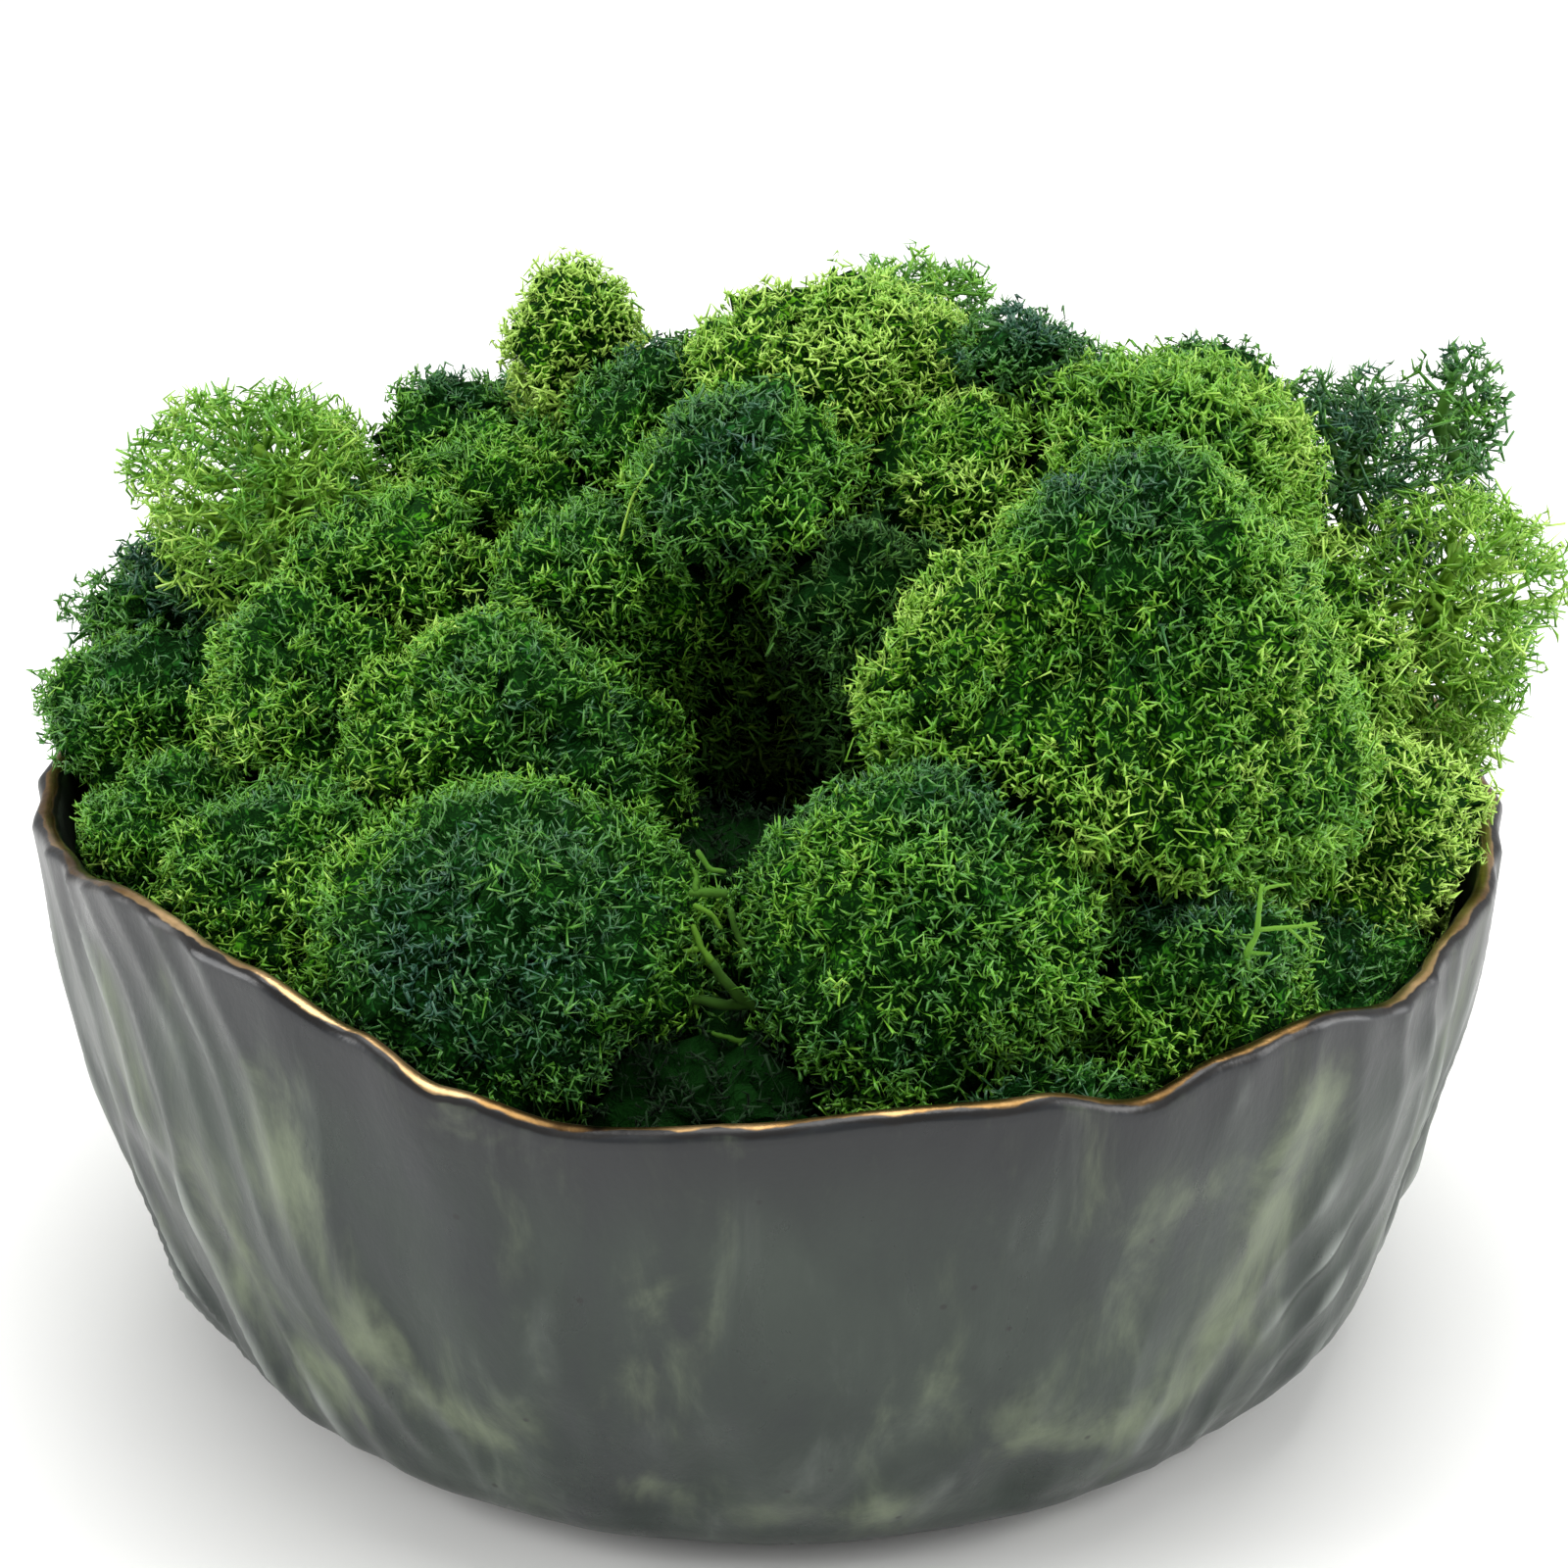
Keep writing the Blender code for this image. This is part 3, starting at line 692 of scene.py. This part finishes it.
def slopeTips(forks, sunk, dips, dipFacing, dipSunk, dipTone, size, look, draw):
    # Short tips on the slopes that lead from each dip up to the forks nearest to it
    apart = (dips ** 2).sum(1)[:, None] + (forks ** 2).sum(1) - 2 * dips @ forks.T
    near = np.argpartition(apart, look["tipsAtDip"], axis=1)[:, :look["tipsAtDip"]].ravel()
    owner = np.repeat(np.arange(len(dips)), look["tipsAtDip"])
    up = draw.uniform(0.2, 0.8, len(owner))
    starts = dips[owner] + (forks[near] - dips[owner]) * up[:, None]
    below = dipSunk[owner] + (sunk[near] - dipSunk[owner]) * up
    facing = dipFacing[owner]
    heading = unit(facing + draw.normal(size=facing.shape) * 0.6 + np.array([0, 0, look["tipLift"]]))
    length = draw.uniform(*look["tipLength"], len(owner)) * size
    bend = draw.normal(size=facing.shape) * 0.2 * length[:, None]
    depth = np.maximum(below - (heading * facing).sum(axis=1) * length, 0)
    own = dipTone[owner] + draw.normal(size=len(owner)) * 0.05
    return starts, starts + heading * length[:, None], bend, below, depth, own


def tuftAxis(points):
    # The tuft's stem runs from the middle of its lowest points to the middle of its dome
    low, high = points[:, 2].min(), points[:, 2].max()
    foot = points[points[:, 2] < low + 3].mean(0)
    upper = points[points[:, 2] > low + 0.6 * (high - low)]
    dome = (upper.min(0) + upper.max(0)) / 2
    return dome, foot


def stemTargets(places, heart, root):
    # Where a branch joins the stem: the point level with it, and then lower the farther out it is
    axis = heart - root
    length = np.linalg.norm(axis)
    axis = axis / length
    along = (places - root) @ axis
    aside = np.linalg.norm(places - root - along[:, None] * axis, axis=1)
    along = np.clip(along - 0.9 * aside, 0.1 * length, length)
    return root + along[:, None] * axis


def mossTone(places, heart, sunk, look, draw):
    # Dark towards the cap, in slow patches, a little of its own for each fork, and darker below the skin,
    # which is painted shade
    toward = unit(np.array(look["capToward"], float))
    near = unit(places - heart) @ toward
    dark = smoothStep(1 - look["capWidth"] - 0.25, 1 - look["capWidth"] + 0.35, near)
    patches = sum(strength * slowWaves(places, size, draw) for size, strength in look["tonePatches"])
    own = draw.normal(size=len(places)) * look["toneStray"]
    return look["tone"] - look["cap"] * dark + patches + own - 0.03 * np.minimum(sunk, 6)


def growBranches(ends, outward, sunk, tone, heart, root, size, look, draw):
    # Forks inwards from the last ones: near forks gather at a deeper one, until what is left joins the stem.
    # Each row has the branches' starts, ends, depths in mm at both and tone
    rows = []
    for stage, (gathered, step) in enumerate(zip(look["forkSize"], look["forkDepth"])):
        middles, owner = gatherPoints(ends, int(len(ends) / gathered), draw, 2)
        facing, below = unit(meanByOwner(outward, owner, len(middles))), sunk
        toStem = stemTargets(middles, heart, root) - middles
        away = np.linalg.norm(toStem, axis=1, keepdims=True)
        inward = unit(unit(toStem) * (0.3 + 0.2 * stage) - facing)
        length = np.minimum(step * size * draw.uniform(0.7, 1.3, len(middles)), 0.7 * away[:, 0])
        stray = draw.normal(size=middles.shape) * look["stray"] * step * size
        forks = middles + inward * length[:, None] + stray
        known = meanByOwner(np.stack([sunk, tone, tone], axis=1), owner, len(middles))
        sunk = known[:, 0] + length
        rows.append((forks[owner], ends, sunk[owner], below, tone))
        ends, outward, tone = forks, facing, known[:, 1]
        if len(ends) < 8:
            break
    rows.append((stemTargets(ends, heart, root), ends, sunk + 4, sunk, tone))
    return rows


def acrossPair(along):
    # Two directions at right angles to each branch and to each other
    helper = np.where(np.abs(along[:, 2:]) < 0.9, [[0.0, 0.0, 1.0]], [[1.0, 0.0, 0.0]])
    side = unit(np.cross(along, helper))
    return side, np.cross(along, side)


def branchRings(starts, ends, rings, bend=0):
    # Rings of three points round each branch, at (place along it, radius), the first one pushed aside by bend
    side, front = acrossPair(unit(ends - starts))
    turn = (np.arange(3) * fullTurn / 3)[None, :, None]
    ring = np.cos(turn) * side[:, None] + np.sin(turn) * front[:, None]
    middles = [starts + (ends - starts) * place for place, _ in rings]
    middles[0] = middles[0] + bend
    return [middle[:, None] + ring * radius[:, None, None] for middle, (_, radius) in zip(middles, rings)]


barSides = [(0, 1, 4), (0, 4, 3), (1, 2, 5), (1, 5, 4), (2, 0, 3), (2, 3, 5)]
pointToRing = [(0, 2, 1), (0, 3, 2), (0, 1, 3)]
forkedSides = [
    (0, 2, 1), (0, 3, 2), (0, 4, 3), (0, 1, 4), (4, 1, 5),
    (1, 2, 5), (2, 4, 5), (2, 3, 6), (3, 4, 6), (4, 2, 6),
]


def curledTips(starts, ends, radius, bend, sunk, tone, draw):
    # Three-sided bars that swell from a point, bend in their middle and end blunt, ten triangles each
    bendAt = 0.6
    sway = bend * draw.uniform(1.0, 2.0, (len(starts), 1))
    rings = branchRings(starts, ends, [(bendAt, radius), (1, radius * 0.6)], sway)
    foot = starts - (ends - starts) * 0.2
    points = np.concatenate([foot[:, None], *rings], axis=1)
    sides = [tuple(corner + 1 for corner in face) for face in barSides]
    triangles = [*pointToRing, *sides, (4, 5, 6)]
    return manyCopies(points, triangles, (0, bendAt, bendAt, bendAt, 1, 1, 1), sunk, tone)


def forkedTips(starts, ends, radius, bend, sunk, tone, draw):
    # Branchlets that swell from a point to four sides and part into two pointed ends, ten triangles each
    along = ends - starts
    length = np.linalg.norm(along, axis=1, keepdims=True)
    side, front = acrossPair(unit(along))
    turn = draw.uniform(0, fullTurn, (len(starts), 1))
    aside = np.cos(turn) * side + np.sin(turn) * front
    level = np.cross(unit(along), aside)
    middle, thick = starts + 0.45 * along + bend, radius[:, None]
    spread = draw.uniform(0.2, 0.55, (2, len(starts), 1)) * length
    first = ends + aside * spread[0]
    second = ends - along * draw.uniform(0.0, 0.3, (len(starts), 1)) - aside * spread[1]
    points = np.stack([
        starts - along * 0.2, middle + aside * thick, middle + level * thick, middle - aside * thick,
        middle - level * thick, first, second,
    ], axis=1)
    return manyCopies(points, forkedSides, (0, 0.45, 0.45, 0.45, 0.45, 1, 0.9), sunk, tone)


def spindles(starts, ends, radius, bend, sunk, tone):
    # Bars that swell to three sides in the middle and are pointed at both ends, six triangles each
    ring = branchRings(starts, ends, [(0.6, radius)], bend)[0]
    points = np.concatenate([starts[:, None], ring, ends[:, None]], axis=1)
    triangles = [*pointToRing, (1, 2, 4), (2, 3, 4), (3, 1, 4)]
    return manyCopies(points, triangles, (0, 0.6, 0.6, 0.6, 1), sunk, tone)


def twigs(starts, ends, thick, thin, sunk, tone):
    # Straight three-sided bars with closed ends, eight triangles each
    points = np.concatenate(branchRings(starts, ends, [(-0.04, thick), (1.04, thin)]), axis=1)
    return manyCopies(points, [(0, 2, 1), *barSides, (3, 4, 5)], (0, 0, 0, 1, 1, 1), sunk, tone)


def manyCopies(points, triangles, along, sunk, tone):
    # One piece's triangles for each branch, with each point's place on the moss map
    count, size = points.shape[:2]
    faces = (np.array(triangles)[None] + np.arange(count)[:, None, None] * size).reshape(-1, 3)
    start, end = sunk
    depth = start[:, None] + (end - start)[:, None] * np.array(along)
    spread = np.linspace(-0.012, 0.012, size)
    places = np.stack(np.broadcast_arrays(np.exp(-depth / moss["fade"]), tone[:, None] + spread), axis=-1)
    return points.reshape(-1, 3), faces, np.clip(places, 0.01, 0.99).reshape(-1, 2)


def tubeMesh(middle, side, front, radius, depth, tone):
    # A six-sided tube round a row of points, closed by a point at each end. Side, front and the tube's way
    # are at right angles, in that order
    sides = 6
    turn = np.arange(sides)[:, None] * fullTurn / sides
    ring = np.cos(turn) * side[:, None] + np.sin(turn) * front[:, None]
    tube = middle[:, None] + ring * radius[:, None, None]
    along = np.cross(side, front) * radius[:, None] * 0.5
    points = np.vstack([middle[:1] - along[:1], tube.reshape(-1, 3), middle[-1:] + along[-1:]])
    end = len(points) - 1
    faces = []
    for corner in range(sides):
        after = (corner + 1) % sides
        faces += [(0, 1 + after, 1 + corner), (end, end - sides + corner, end - sides + after)]
        for here in range(1, end - sides, sides):
            above = here + sides
            faces.append((here + corner, here + after, above + after))
            faces.append((here + corner, above + after, above + corner))
    places = np.full((len(points), 2), (math.exp(-depth / moss["fade"]), tone))
    places[:, 1] += np.linspace(-0.02, 0.02, len(points))
    return points, np.array(faces), places


def stemMesh(heart, root, look, draw):
    # The tuft's own stem: a tapering tube along a curve that wanders by 1.5 mm
    t = np.linspace(0, 1, 9)[:, None]
    broad, quick = draw.normal(size=(2, 3)) * 1.5
    middle = root + (heart - root) * t + np.sin(t * math.pi) * broad + np.sin(t * fullTurn) * quick * 0.6
    side, front = np.tile([[1.0, 0, 0]], (9, 1)), np.tile([[0, 1.0, 0]], (9, 1))
    radius = look["stemRadius"] * (1 - 0.45 * t[:, 0])
    return tubeMesh(middle, side, front, radius, look["stemDepth"], look["tone"])


looseStems = (  # radius in mm at both ends, depth in mm that the colour is of, which paints shade on the stalks between the tufts, tone, points on its way
    (0.34, 0.20, 9, 0.55, (
        (44.7, -61.5, 67.8), (45.6, -61.3, 69.9), (45.7, -60.6, 71.6), (46.1, -59.4, 74.0),
    )),
    (0.24, 0.15, 8, 0.6, ((45.7, -61.2, 70.2), (48.6, -61, 70.3), (51.3, -60.4, 70.5))),
    (0.18, 0.10, 7, 0.6, ((50.1, -60.6, 70.4), (51.6, -60.4, 69.8))),
    (0.20, 0.10, 7, 0.6, ((48.6, -61, 70.2), (50.5, -61.2, 68.3))),
    (0.20, 0.10, 8, 0.6, ((46.1, -59.6, 73.5), (46.8, -59.4, 73.8), (48.8, -59, 73.9))),
    (0.26, 0.12, 9, 0.5, ((44.8, -61.6, 68.1), (47.0, -61.4, 67.8))),
    (0.28, 0.12, 9, 0.5, ((44.7, -61.5, 67.9), (45.0, -61.6, 66.1))),
    (0.60, 0.42, 16, 0.5, ((-1.3, -55.5, 58.9), (-4.1, -56.5, 62), (-5.6, -56.5, 64.5))),
    (0.42, 0.28, 13, 0.6, ((-5.6, -56.5, 64.5), (-6.6, -56, 65.9), (-7.4, -54.8, 67.6))),
    (0.32, 0.20, 12, 0.6, ((-6.8, -56, 65.6), (-8.4, -56.2, 65.4), (-10.1, -56, 65.7))),
    (0.60, 0.42, 17, 0.5, ((-1.5, -55.5, 59.4), (-5.0, -56.5, 60.1), (-7.7, -56.8, 60.6))),
    (0.32, 0.18, 14, 0.5, ((-7.7, -56.8, 60.6), (-9.2, -56.8, 62.1), (-11.8, -56.5, 62.8))),
    (0.28, 0.18, 14, 0.5, ((-7.5, -56.8, 60.6), (-9.0, -57.4, 61.9), (-10.5, -57.2, 61.6))),
    (0.52, 0.38, 15, 0.5, ((-4.3, -52.5, 69.8), (-6.2, -53, 70.2), (-7.7, -53, 70.1))),
    (0.34, 0.22, 14, 0.5, ((-7.1, -53, 70.3), (-7.3, -51.6, 71.9))),
    (0.32, 0.20, 13, 0.6, ((-7.3, -54, 69.3), (-5.6, -54.4, 68.6), (-4.7, -54.8, 67.2))),
    (0.36, 0.26, 16, 0.5, ((-3.8, -53.4, 68.6), (-3.4, -54, 66.8), (-2.5, -54.6, 65.0))),
    (0.28, 0.22, 14, 0.5, ((-7.0, -51, 73.7), (-5.8, -52, 72.1), (-4.3, -52, 71.9))),
    (0.24, 0.32, 14, 0.5, ((-5.6, -58, 57.7), (-3.0, -58, 56.8), (-1.5, -57.5, 56.8))),
    (0.28, 0.20, 15, 0.5, ((-2.9, -58, 56.7), (-2.4, -58.6, 55.2), (-3.4, -59, 54.0))),
    (0.30, 0.48, 14, 0.6, ((-4.7, -59.6, 54.5), (-3.4, -59.8, 53.3), (-2.8, -60.2, 52.1))),
    (0.32, 0.22, 14, 0.6, ((-2.9, -60.2, 52.5), (-1.3, -60.2, 51.9))),
    (0.18, 0.12, 5, 1.0, ((-15.8, -11, 91.2), (-14.7, -11, 95.5), (-12.3, -10.5, 99.4))),
)


def makeLooseStems(stems, material):
    # Thicker stalks that show between the tufts, and a stray sprig and straw, as bent tubes of uneven width
    draw = np.random.default_rng(looseSeed)
    parts = []
    for thick, thin, depth, tone, path in stems:
        path = np.array(path)
        walked = np.append(0, np.cumsum(np.linalg.norm(np.diff(path, axis=0), axis=1)))
        t = np.linspace(0, 1, 4 * len(path))
        middle = np.stack([np.interp(t * walked[-1], walked, path[:, axis]) for axis in range(3)], axis=1)
        middle[1:-1] += draw.normal(size=(len(t) - 2, 3)) * 0.25 * thick
        middle[1:-1] = (middle[:-2] + middle[1:-1] + middle[2:]) / 3
        along = unit(np.gradient(middle, axis=0))
        side = unit(np.cross(along, [0, -0.9, 0.4]))
        radius = (thick + (thin - thick) * t) * draw.uniform(0.85, 1.15, len(t))
        parts.append(tubeMesh(middle, side, np.cross(along, side), radius, depth, tone))
    points, faces, places = joinParts(parts)
    piece = addMesh("loose_stems", points, faces, material)
    addMap(piece, "OFBake", places)
    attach(piece, "root")
    return len(faces)


def matMesh(places, facing, sunk, low, hidden, heart, tone, look):
    # The matted body under the tips: a skin stretched over the forks and the dips between them, which closes
    # where nothing sees it. Its triangles are those of the hull of its points' directions from the heart
    deeper = look["matSunk"] + look["matSkirt"] * low + look["matOpen"] * look["open"]
    inward = unit(heart - places) * 0.4 - facing * 0.6
    away = np.linalg.norm(heart - places, axis=1)
    visible = places + inward * np.minimum(deeper, 0.6 * away)[:, None]
    points = np.vstack([visible, hidden + unit(heart - hidden)])
    shell = bmesh.new()
    corners = [shell.verts.new(direction) for direction in unit(points - heart)]
    shell.verts.index_update()
    bmesh.ops.convex_hull(shell, input=corners)
    faces = np.array([[corner.index for corner in face.verts] for face in shell.faces])
    shell.free()
    a, b, c = (points[faces] - heart).transpose(1, 0, 2)
    inside = np.einsum("ij,ij->i", np.cross(b - a, c - a), a + b + c) < 0
    faces[inside] = faces[inside][:, ::-1]
    depth = np.append(sunk + deeper, np.full(len(hidden), look["hiddenDepth"]))
    return points, faces, depth, np.append(tone, np.full(len(hidden), look["hiddenTone"]))


def makeMat(shells, material):
    # All the tufts' matted bodies as one piece, with each point's depth in mm and tone
    points, faces, depth, tone = joinParts(shells)
    used, faces = np.unique(faces, return_inverse=True)
    faces = faces.reshape(-1, 3)
    piece = addMesh("moss_mat", points[used], faces, material)
    addNumbers(piece, "depth", depth[used])
    addNumbers(piece, "tone", tone[used])
    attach(piece, "root")
    return len(faces)


def insideWall(points, settings):
    # Below the rim, points that would reach into the bowl's wall are drawn in to a gap before it
    azimuth = np.arctan2(points[:, 1], points[:, 0])
    share = points[:, 2] / rimHeight(azimuth, settings)
    radii, shares = np.array(settings["outerProfile"]).T
    level = np.clip(share, 0.1, 0.98)
    wall = settings["wallAtFoot"] + (settings["wallAtRim"] - settings["wallAtFoot"]) * level
    most = roundProfile(level, shares, radii) - wall - settings["mossGap"]
    reach = np.linalg.norm(points[:, :2], axis=1)
    drawn = np.where(share < 1.02, np.minimum(1, most / np.maximum(reach, 1)), 1)
    return points * np.stack([drawn, drawn, np.ones_like(drawn)], axis=1)


def makeTuft(name, look, heap, directions, material, seed):
    # Last forks under the skin, branches from them in to the stem, tips on every fork, and the mat below
    draw = np.random.default_rng(seed)
    points, triangles = readNode(name)
    heart, root = tuftAxis(points)
    places, facing, sunk, low, count, hidden, size = lastForks(
        points, triangles, heart, root, look, heap, directions, draw)
    tone = mossTone(places, heart, sunk, look, draw)
    forks, forkFacing, forkSunk, forkTone = places[:count], facing[:count], sunk[:count], tone[:count]
    grown = np.flatnonzero((low[:count] > look["grownLow"]) | (look["open"] > 0))
    inner = forks - forkFacing * 1.2 + draw.normal(size=forks.shape) * 0.5
    rows = []
    if len(grown) > 8:
        rows = growBranches(
            forks[grown], forkFacing[grown], forkSunk[grown], forkTone[grown], heart, root, size, look, draw)
        inner[grown] = rows[0][0]
    radii = look["branchRadius"]
    coarse = 1 + look["coarse"] * low[:count]
    starts, tips, bend, fromDepth, toDepth, tipTone, tipSize = sproutTips(
        forks, inner, forkFacing, forkSunk, forkTone, size * coarse, look, draw)
    own = radii[0] * draw.uniform(0.75, 1.3, len(tips)) * tipSize / size
    forked = draw.random(len(tips)) < look["forkedShare"]
    parts = []
    for kind, chosen in ((forkedTips, forked), (curledTips, ~forked)):
        parts.append(kind(
            starts[chosen], tips[chosen], own[chosen], bend[chosen], (fromDepth[chosen], toDepth[chosen]),
            tipTone[chosen], draw))
    mat = None
    if look["open"] < look["bareOpen"]:
        starts, tips, bend, fromDepth, toDepth, tipTone = slopeTips(
            forks, forkSunk, places[count:], facing[count:], sunk[count:], tone[count:], size, look, draw)
        own = radii[0] * draw.uniform(0.9, 1.25, len(tips))
        parts.append(spindles(starts, tips, own, bend, (fromDepth, toDepth), tipTone))
        mat = matMesh(places, facing, sunk, low, hidden, heart, tone, look)
    for stage, (starts, ends, fromDepth, toDepth, branchTone) in enumerate(rows):
        own = draw.uniform(0.85, 1.15, len(starts))
        parts.append(twigs(
            starts, ends, radii[stage + 1] * own, radii[stage] * own, (fromDepth, toDepth), branchTone))
    parts.append(stemMesh(heart, root, look, draw))
    points, faces, places = joinParts(parts)
    piece = addMesh(f"{name}_branches", insideWall(points, bowl), faces, material)
    addMap(piece, "OFBake", places)
    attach(piece, "root")
    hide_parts(name)
    return len(faces), mat


mossColours = {
    "roughness": 0.34,
    # near black green where the moss lies deep and matted, which is partly painted shade
    "mattedAndShade": "#042c02",
    "matLight": [(0.2, "#1e5a20"), (0.6, "#3c8612"), (0.9, "#5ea218")],
    "matGrain": 1.1,  # mm between the branchlets that show in the mat
    "layers": (  # the stems and the tips: where each starts and is full on the map, and its colours by tone
        (0.05, 0.3, [(0.0, "#285a18"), (0.5, "#528a14"), (1.0, "#84b020")]),
        (0.35, 0.9, [
            (0.0, "#2e5c48"), (0.25, "#407838"), (0.55, "#5ea02a"), (0.8, "#86be38"), (1.0, "#b8e062"),
        ]),
    ),
}


def mossMaterial(settings):
    # Reindeer lichen, dyed green and kept supple with glycerine. The map's first number tells the depth in
    # the tuft, 1 at the tips, and its second is the tone that the dye has there. Deeper down the colour goes
    # to olive stems and then near black, which is partly painted shade
    material, tree, shader = newMaterial("dyed reindeer moss", {"IOR": 1.5})
    place = addNode(tree, "UVMap", 0, {"uv_map": "OFBake"})
    depth = addNode(tree, "SeparateXYZ", "X", {0: place})
    tone = addNode(tree, "SeparateXYZ", "Y", {0: place})
    colour = settings["mattedAndShade"]
    for start, full, stops in settings["layers"]:
        over = addNode(tree, "ValToRGB", 0, {"stops": stops, 0: tone})
        share = addNode(tree, "MapRange", 0, {
            "interpolation_type": "SMOOTHSTEP", "Value": depth, "From Min": start, "From Max": full,
        })
        colour = addNode(tree, "Mix", 2, {"data_type": "RGBA", 0: share, 6: colour, 7: over})
    feed(tree, shader.inputs["Base Color"], colour)
    feed(tree, shader.inputs["Roughness"], addNode(tree, "MapRange", 0, {
        "Value": depth, "From Min": 0.1, "From Max": 0.8, "To Min": 1, "To Max": settings["roughness"],
    }))
    return material


def matMaterial(settings):
    # The same lichen where it is matted: light branchlets, which are the ridges of a twisted noise, over dark
    # gaps, and darker the deeper it lies; the dark gaps and the darkening with depth are partly painted shade
    material, tree, shader = newMaterial("matted reindeer moss", {
        "IOR": 1.4, "Roughness": 0.9, "Specular IOR Level": 0.15,
    })
    depth = addNode(tree, "Attribute", "Fac", {"attribute_name": "depth"})
    tone = addNode(tree, "Attribute", "Fac", {"attribute_name": "tone"})
    grain = addNode(tree, "TexNoise", "Fac", {
        "Scale": 1000 / settings["matGrain"], "Detail": 1, "Distortion": 1.2,
        "Vector": addNode(tree, "TexCoord", "Object", {}),
    })
    twice = addNode(tree, "Math", 0, {"operation": "MULTIPLY", 0: grain, 1: 2})
    ridge = addNode(tree, "Math", 0, {"operation": "PINGPONG", 0: twice, 1: 0.5})
    shown = 1.0
    # painted shade: the branchlets fade into the dark colour with depth
    for value, start, full in ((ridge, 0.1, 0.46), (depth, 11, 1)):
        share = addNode(tree, "MapRange", 0, {
            "interpolation_type": "SMOOTHSTEP", "Value": value, "From Min": start, "From Max": full,
        })
        shown = addNode(tree, "Math", 0, {"operation": "MULTIPLY", 0: share, 1: shown})
    branchlets = addNode(tree, "ValToRGB", 0, {"stops": settings["matLight"], 0: tone})
    feed(tree, shader.inputs["Base Color"], addNode(tree, "Mix", 2, {
        "data_type": "RGBA", 0: shown, 6: settings["mattedAndShade"], 7: branchlets,
    }))
    feed(tree, shader.inputs["Normal"], addNode(tree, "Bump", 0, {
        "Strength": 0.8, "Distance": 0.0005, "Height": ridge,
    }))
    return material


def lookOf(name):
    # The moss dictionary with what differs in this tuft
    look = dict(moss)
    if "_rear_" in name:
        look["forkArea"] = rearForkArea
    if name.removeprefix("tuft_") in tuftLooks:
        look["tone"], look["cap"], look["open"], more = tuftLooks[name.removeprefix("tuft_")]
        look.update(more)
    return look


def makeMoss():
    # Every tuft of the frame, each with its own seed, then the mat and the loose stems
    heap = wholeHeap()
    directions = skyDirections(sky["directions"])
    material = mossMaterial(mossColours)
    total, mats = 0, []
    tufts = sorted(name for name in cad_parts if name.startswith("tuft_"))
    for seed, name in enumerate(tufts):
        count, mat = makeTuft(name, lookOf(name), heap, directions, material, seed)
        total += count
        if mat:
            mats.append(mat)
        print("  ", name, count)
    total += makeMat(mats, matMaterial(mossColours)) + makeLooseStems(looseStems, material)
    print("moss grown:", len(tufts), "tufts,", total, "triangles")


makeMoss()


# Floor and light: a white table, with one big soft box above and a smaller one on each side

studio = {
    "floorColour": "#f6f6f4",
    "floorRoughness": 0.6,
    "floorSide": 8,  # m
    "world": "#ffffff",
    "worldStrength": 0.58,
    "viewTransform": "Standard",  # shows the table and the dyes as a camera's plain curve does
    "lights": (  # name, place in m, size in m, watts
        ("above", (0.05, 0.12, 1.2), (0.9, 0.9), 12),
        ("left", (-1.0, -0.2, 0.45), (0.5, 0.8), 8),
        ("right", (1.0, -0.1, 0.45), (0.5, 0.8), 8),
    ),
}


def addStudio(settings):
    # A square floor, an even white world, and area lights that face the bowl's middle
    half = settings["floorSide"] / 2 / mm
    points = np.array([(-half, -half, 0), (half, -half, 0), (half, half, 0), (-half, half, 0)], float)
    paint = {"Base Color": settings["floorColour"], "Roughness": settings["floorRoughness"]}
    floor = addMesh("floor", points, np.array([[0, 1, 2, 3]]), newMaterial("painted table", paint)[0])
    world = bpy.data.worlds.new("studio")
    world.use_nodes = True
    back = world.node_tree.nodes["Background"]
    back.inputs["Color"].default_value = linearColour(settings["world"])
    back.inputs["Strength"].default_value = settings["worldStrength"]
    bpy.context.scene.world = world
    bpy.context.scene.view_settings.view_transform = settings["viewTransform"]
    middle = Vector((0, 0, 0.05))
    for name, place, (width, height), watts in settings["lights"]:
        data = bpy.data.lights.new(name, "AREA")
        data.shape = "RECTANGLE"
        data.size, data.size_y, data.energy = width, height, watts
        light = bpy.data.objects.new(name, data)
        bpy.context.scene.collection.objects.link(light)
        light.location = place
        light.rotation_euler = (middle - Vector(place)).to_track_quat("-Z", "Y").to_euler()


addStudio(studio)
print("studio lit")
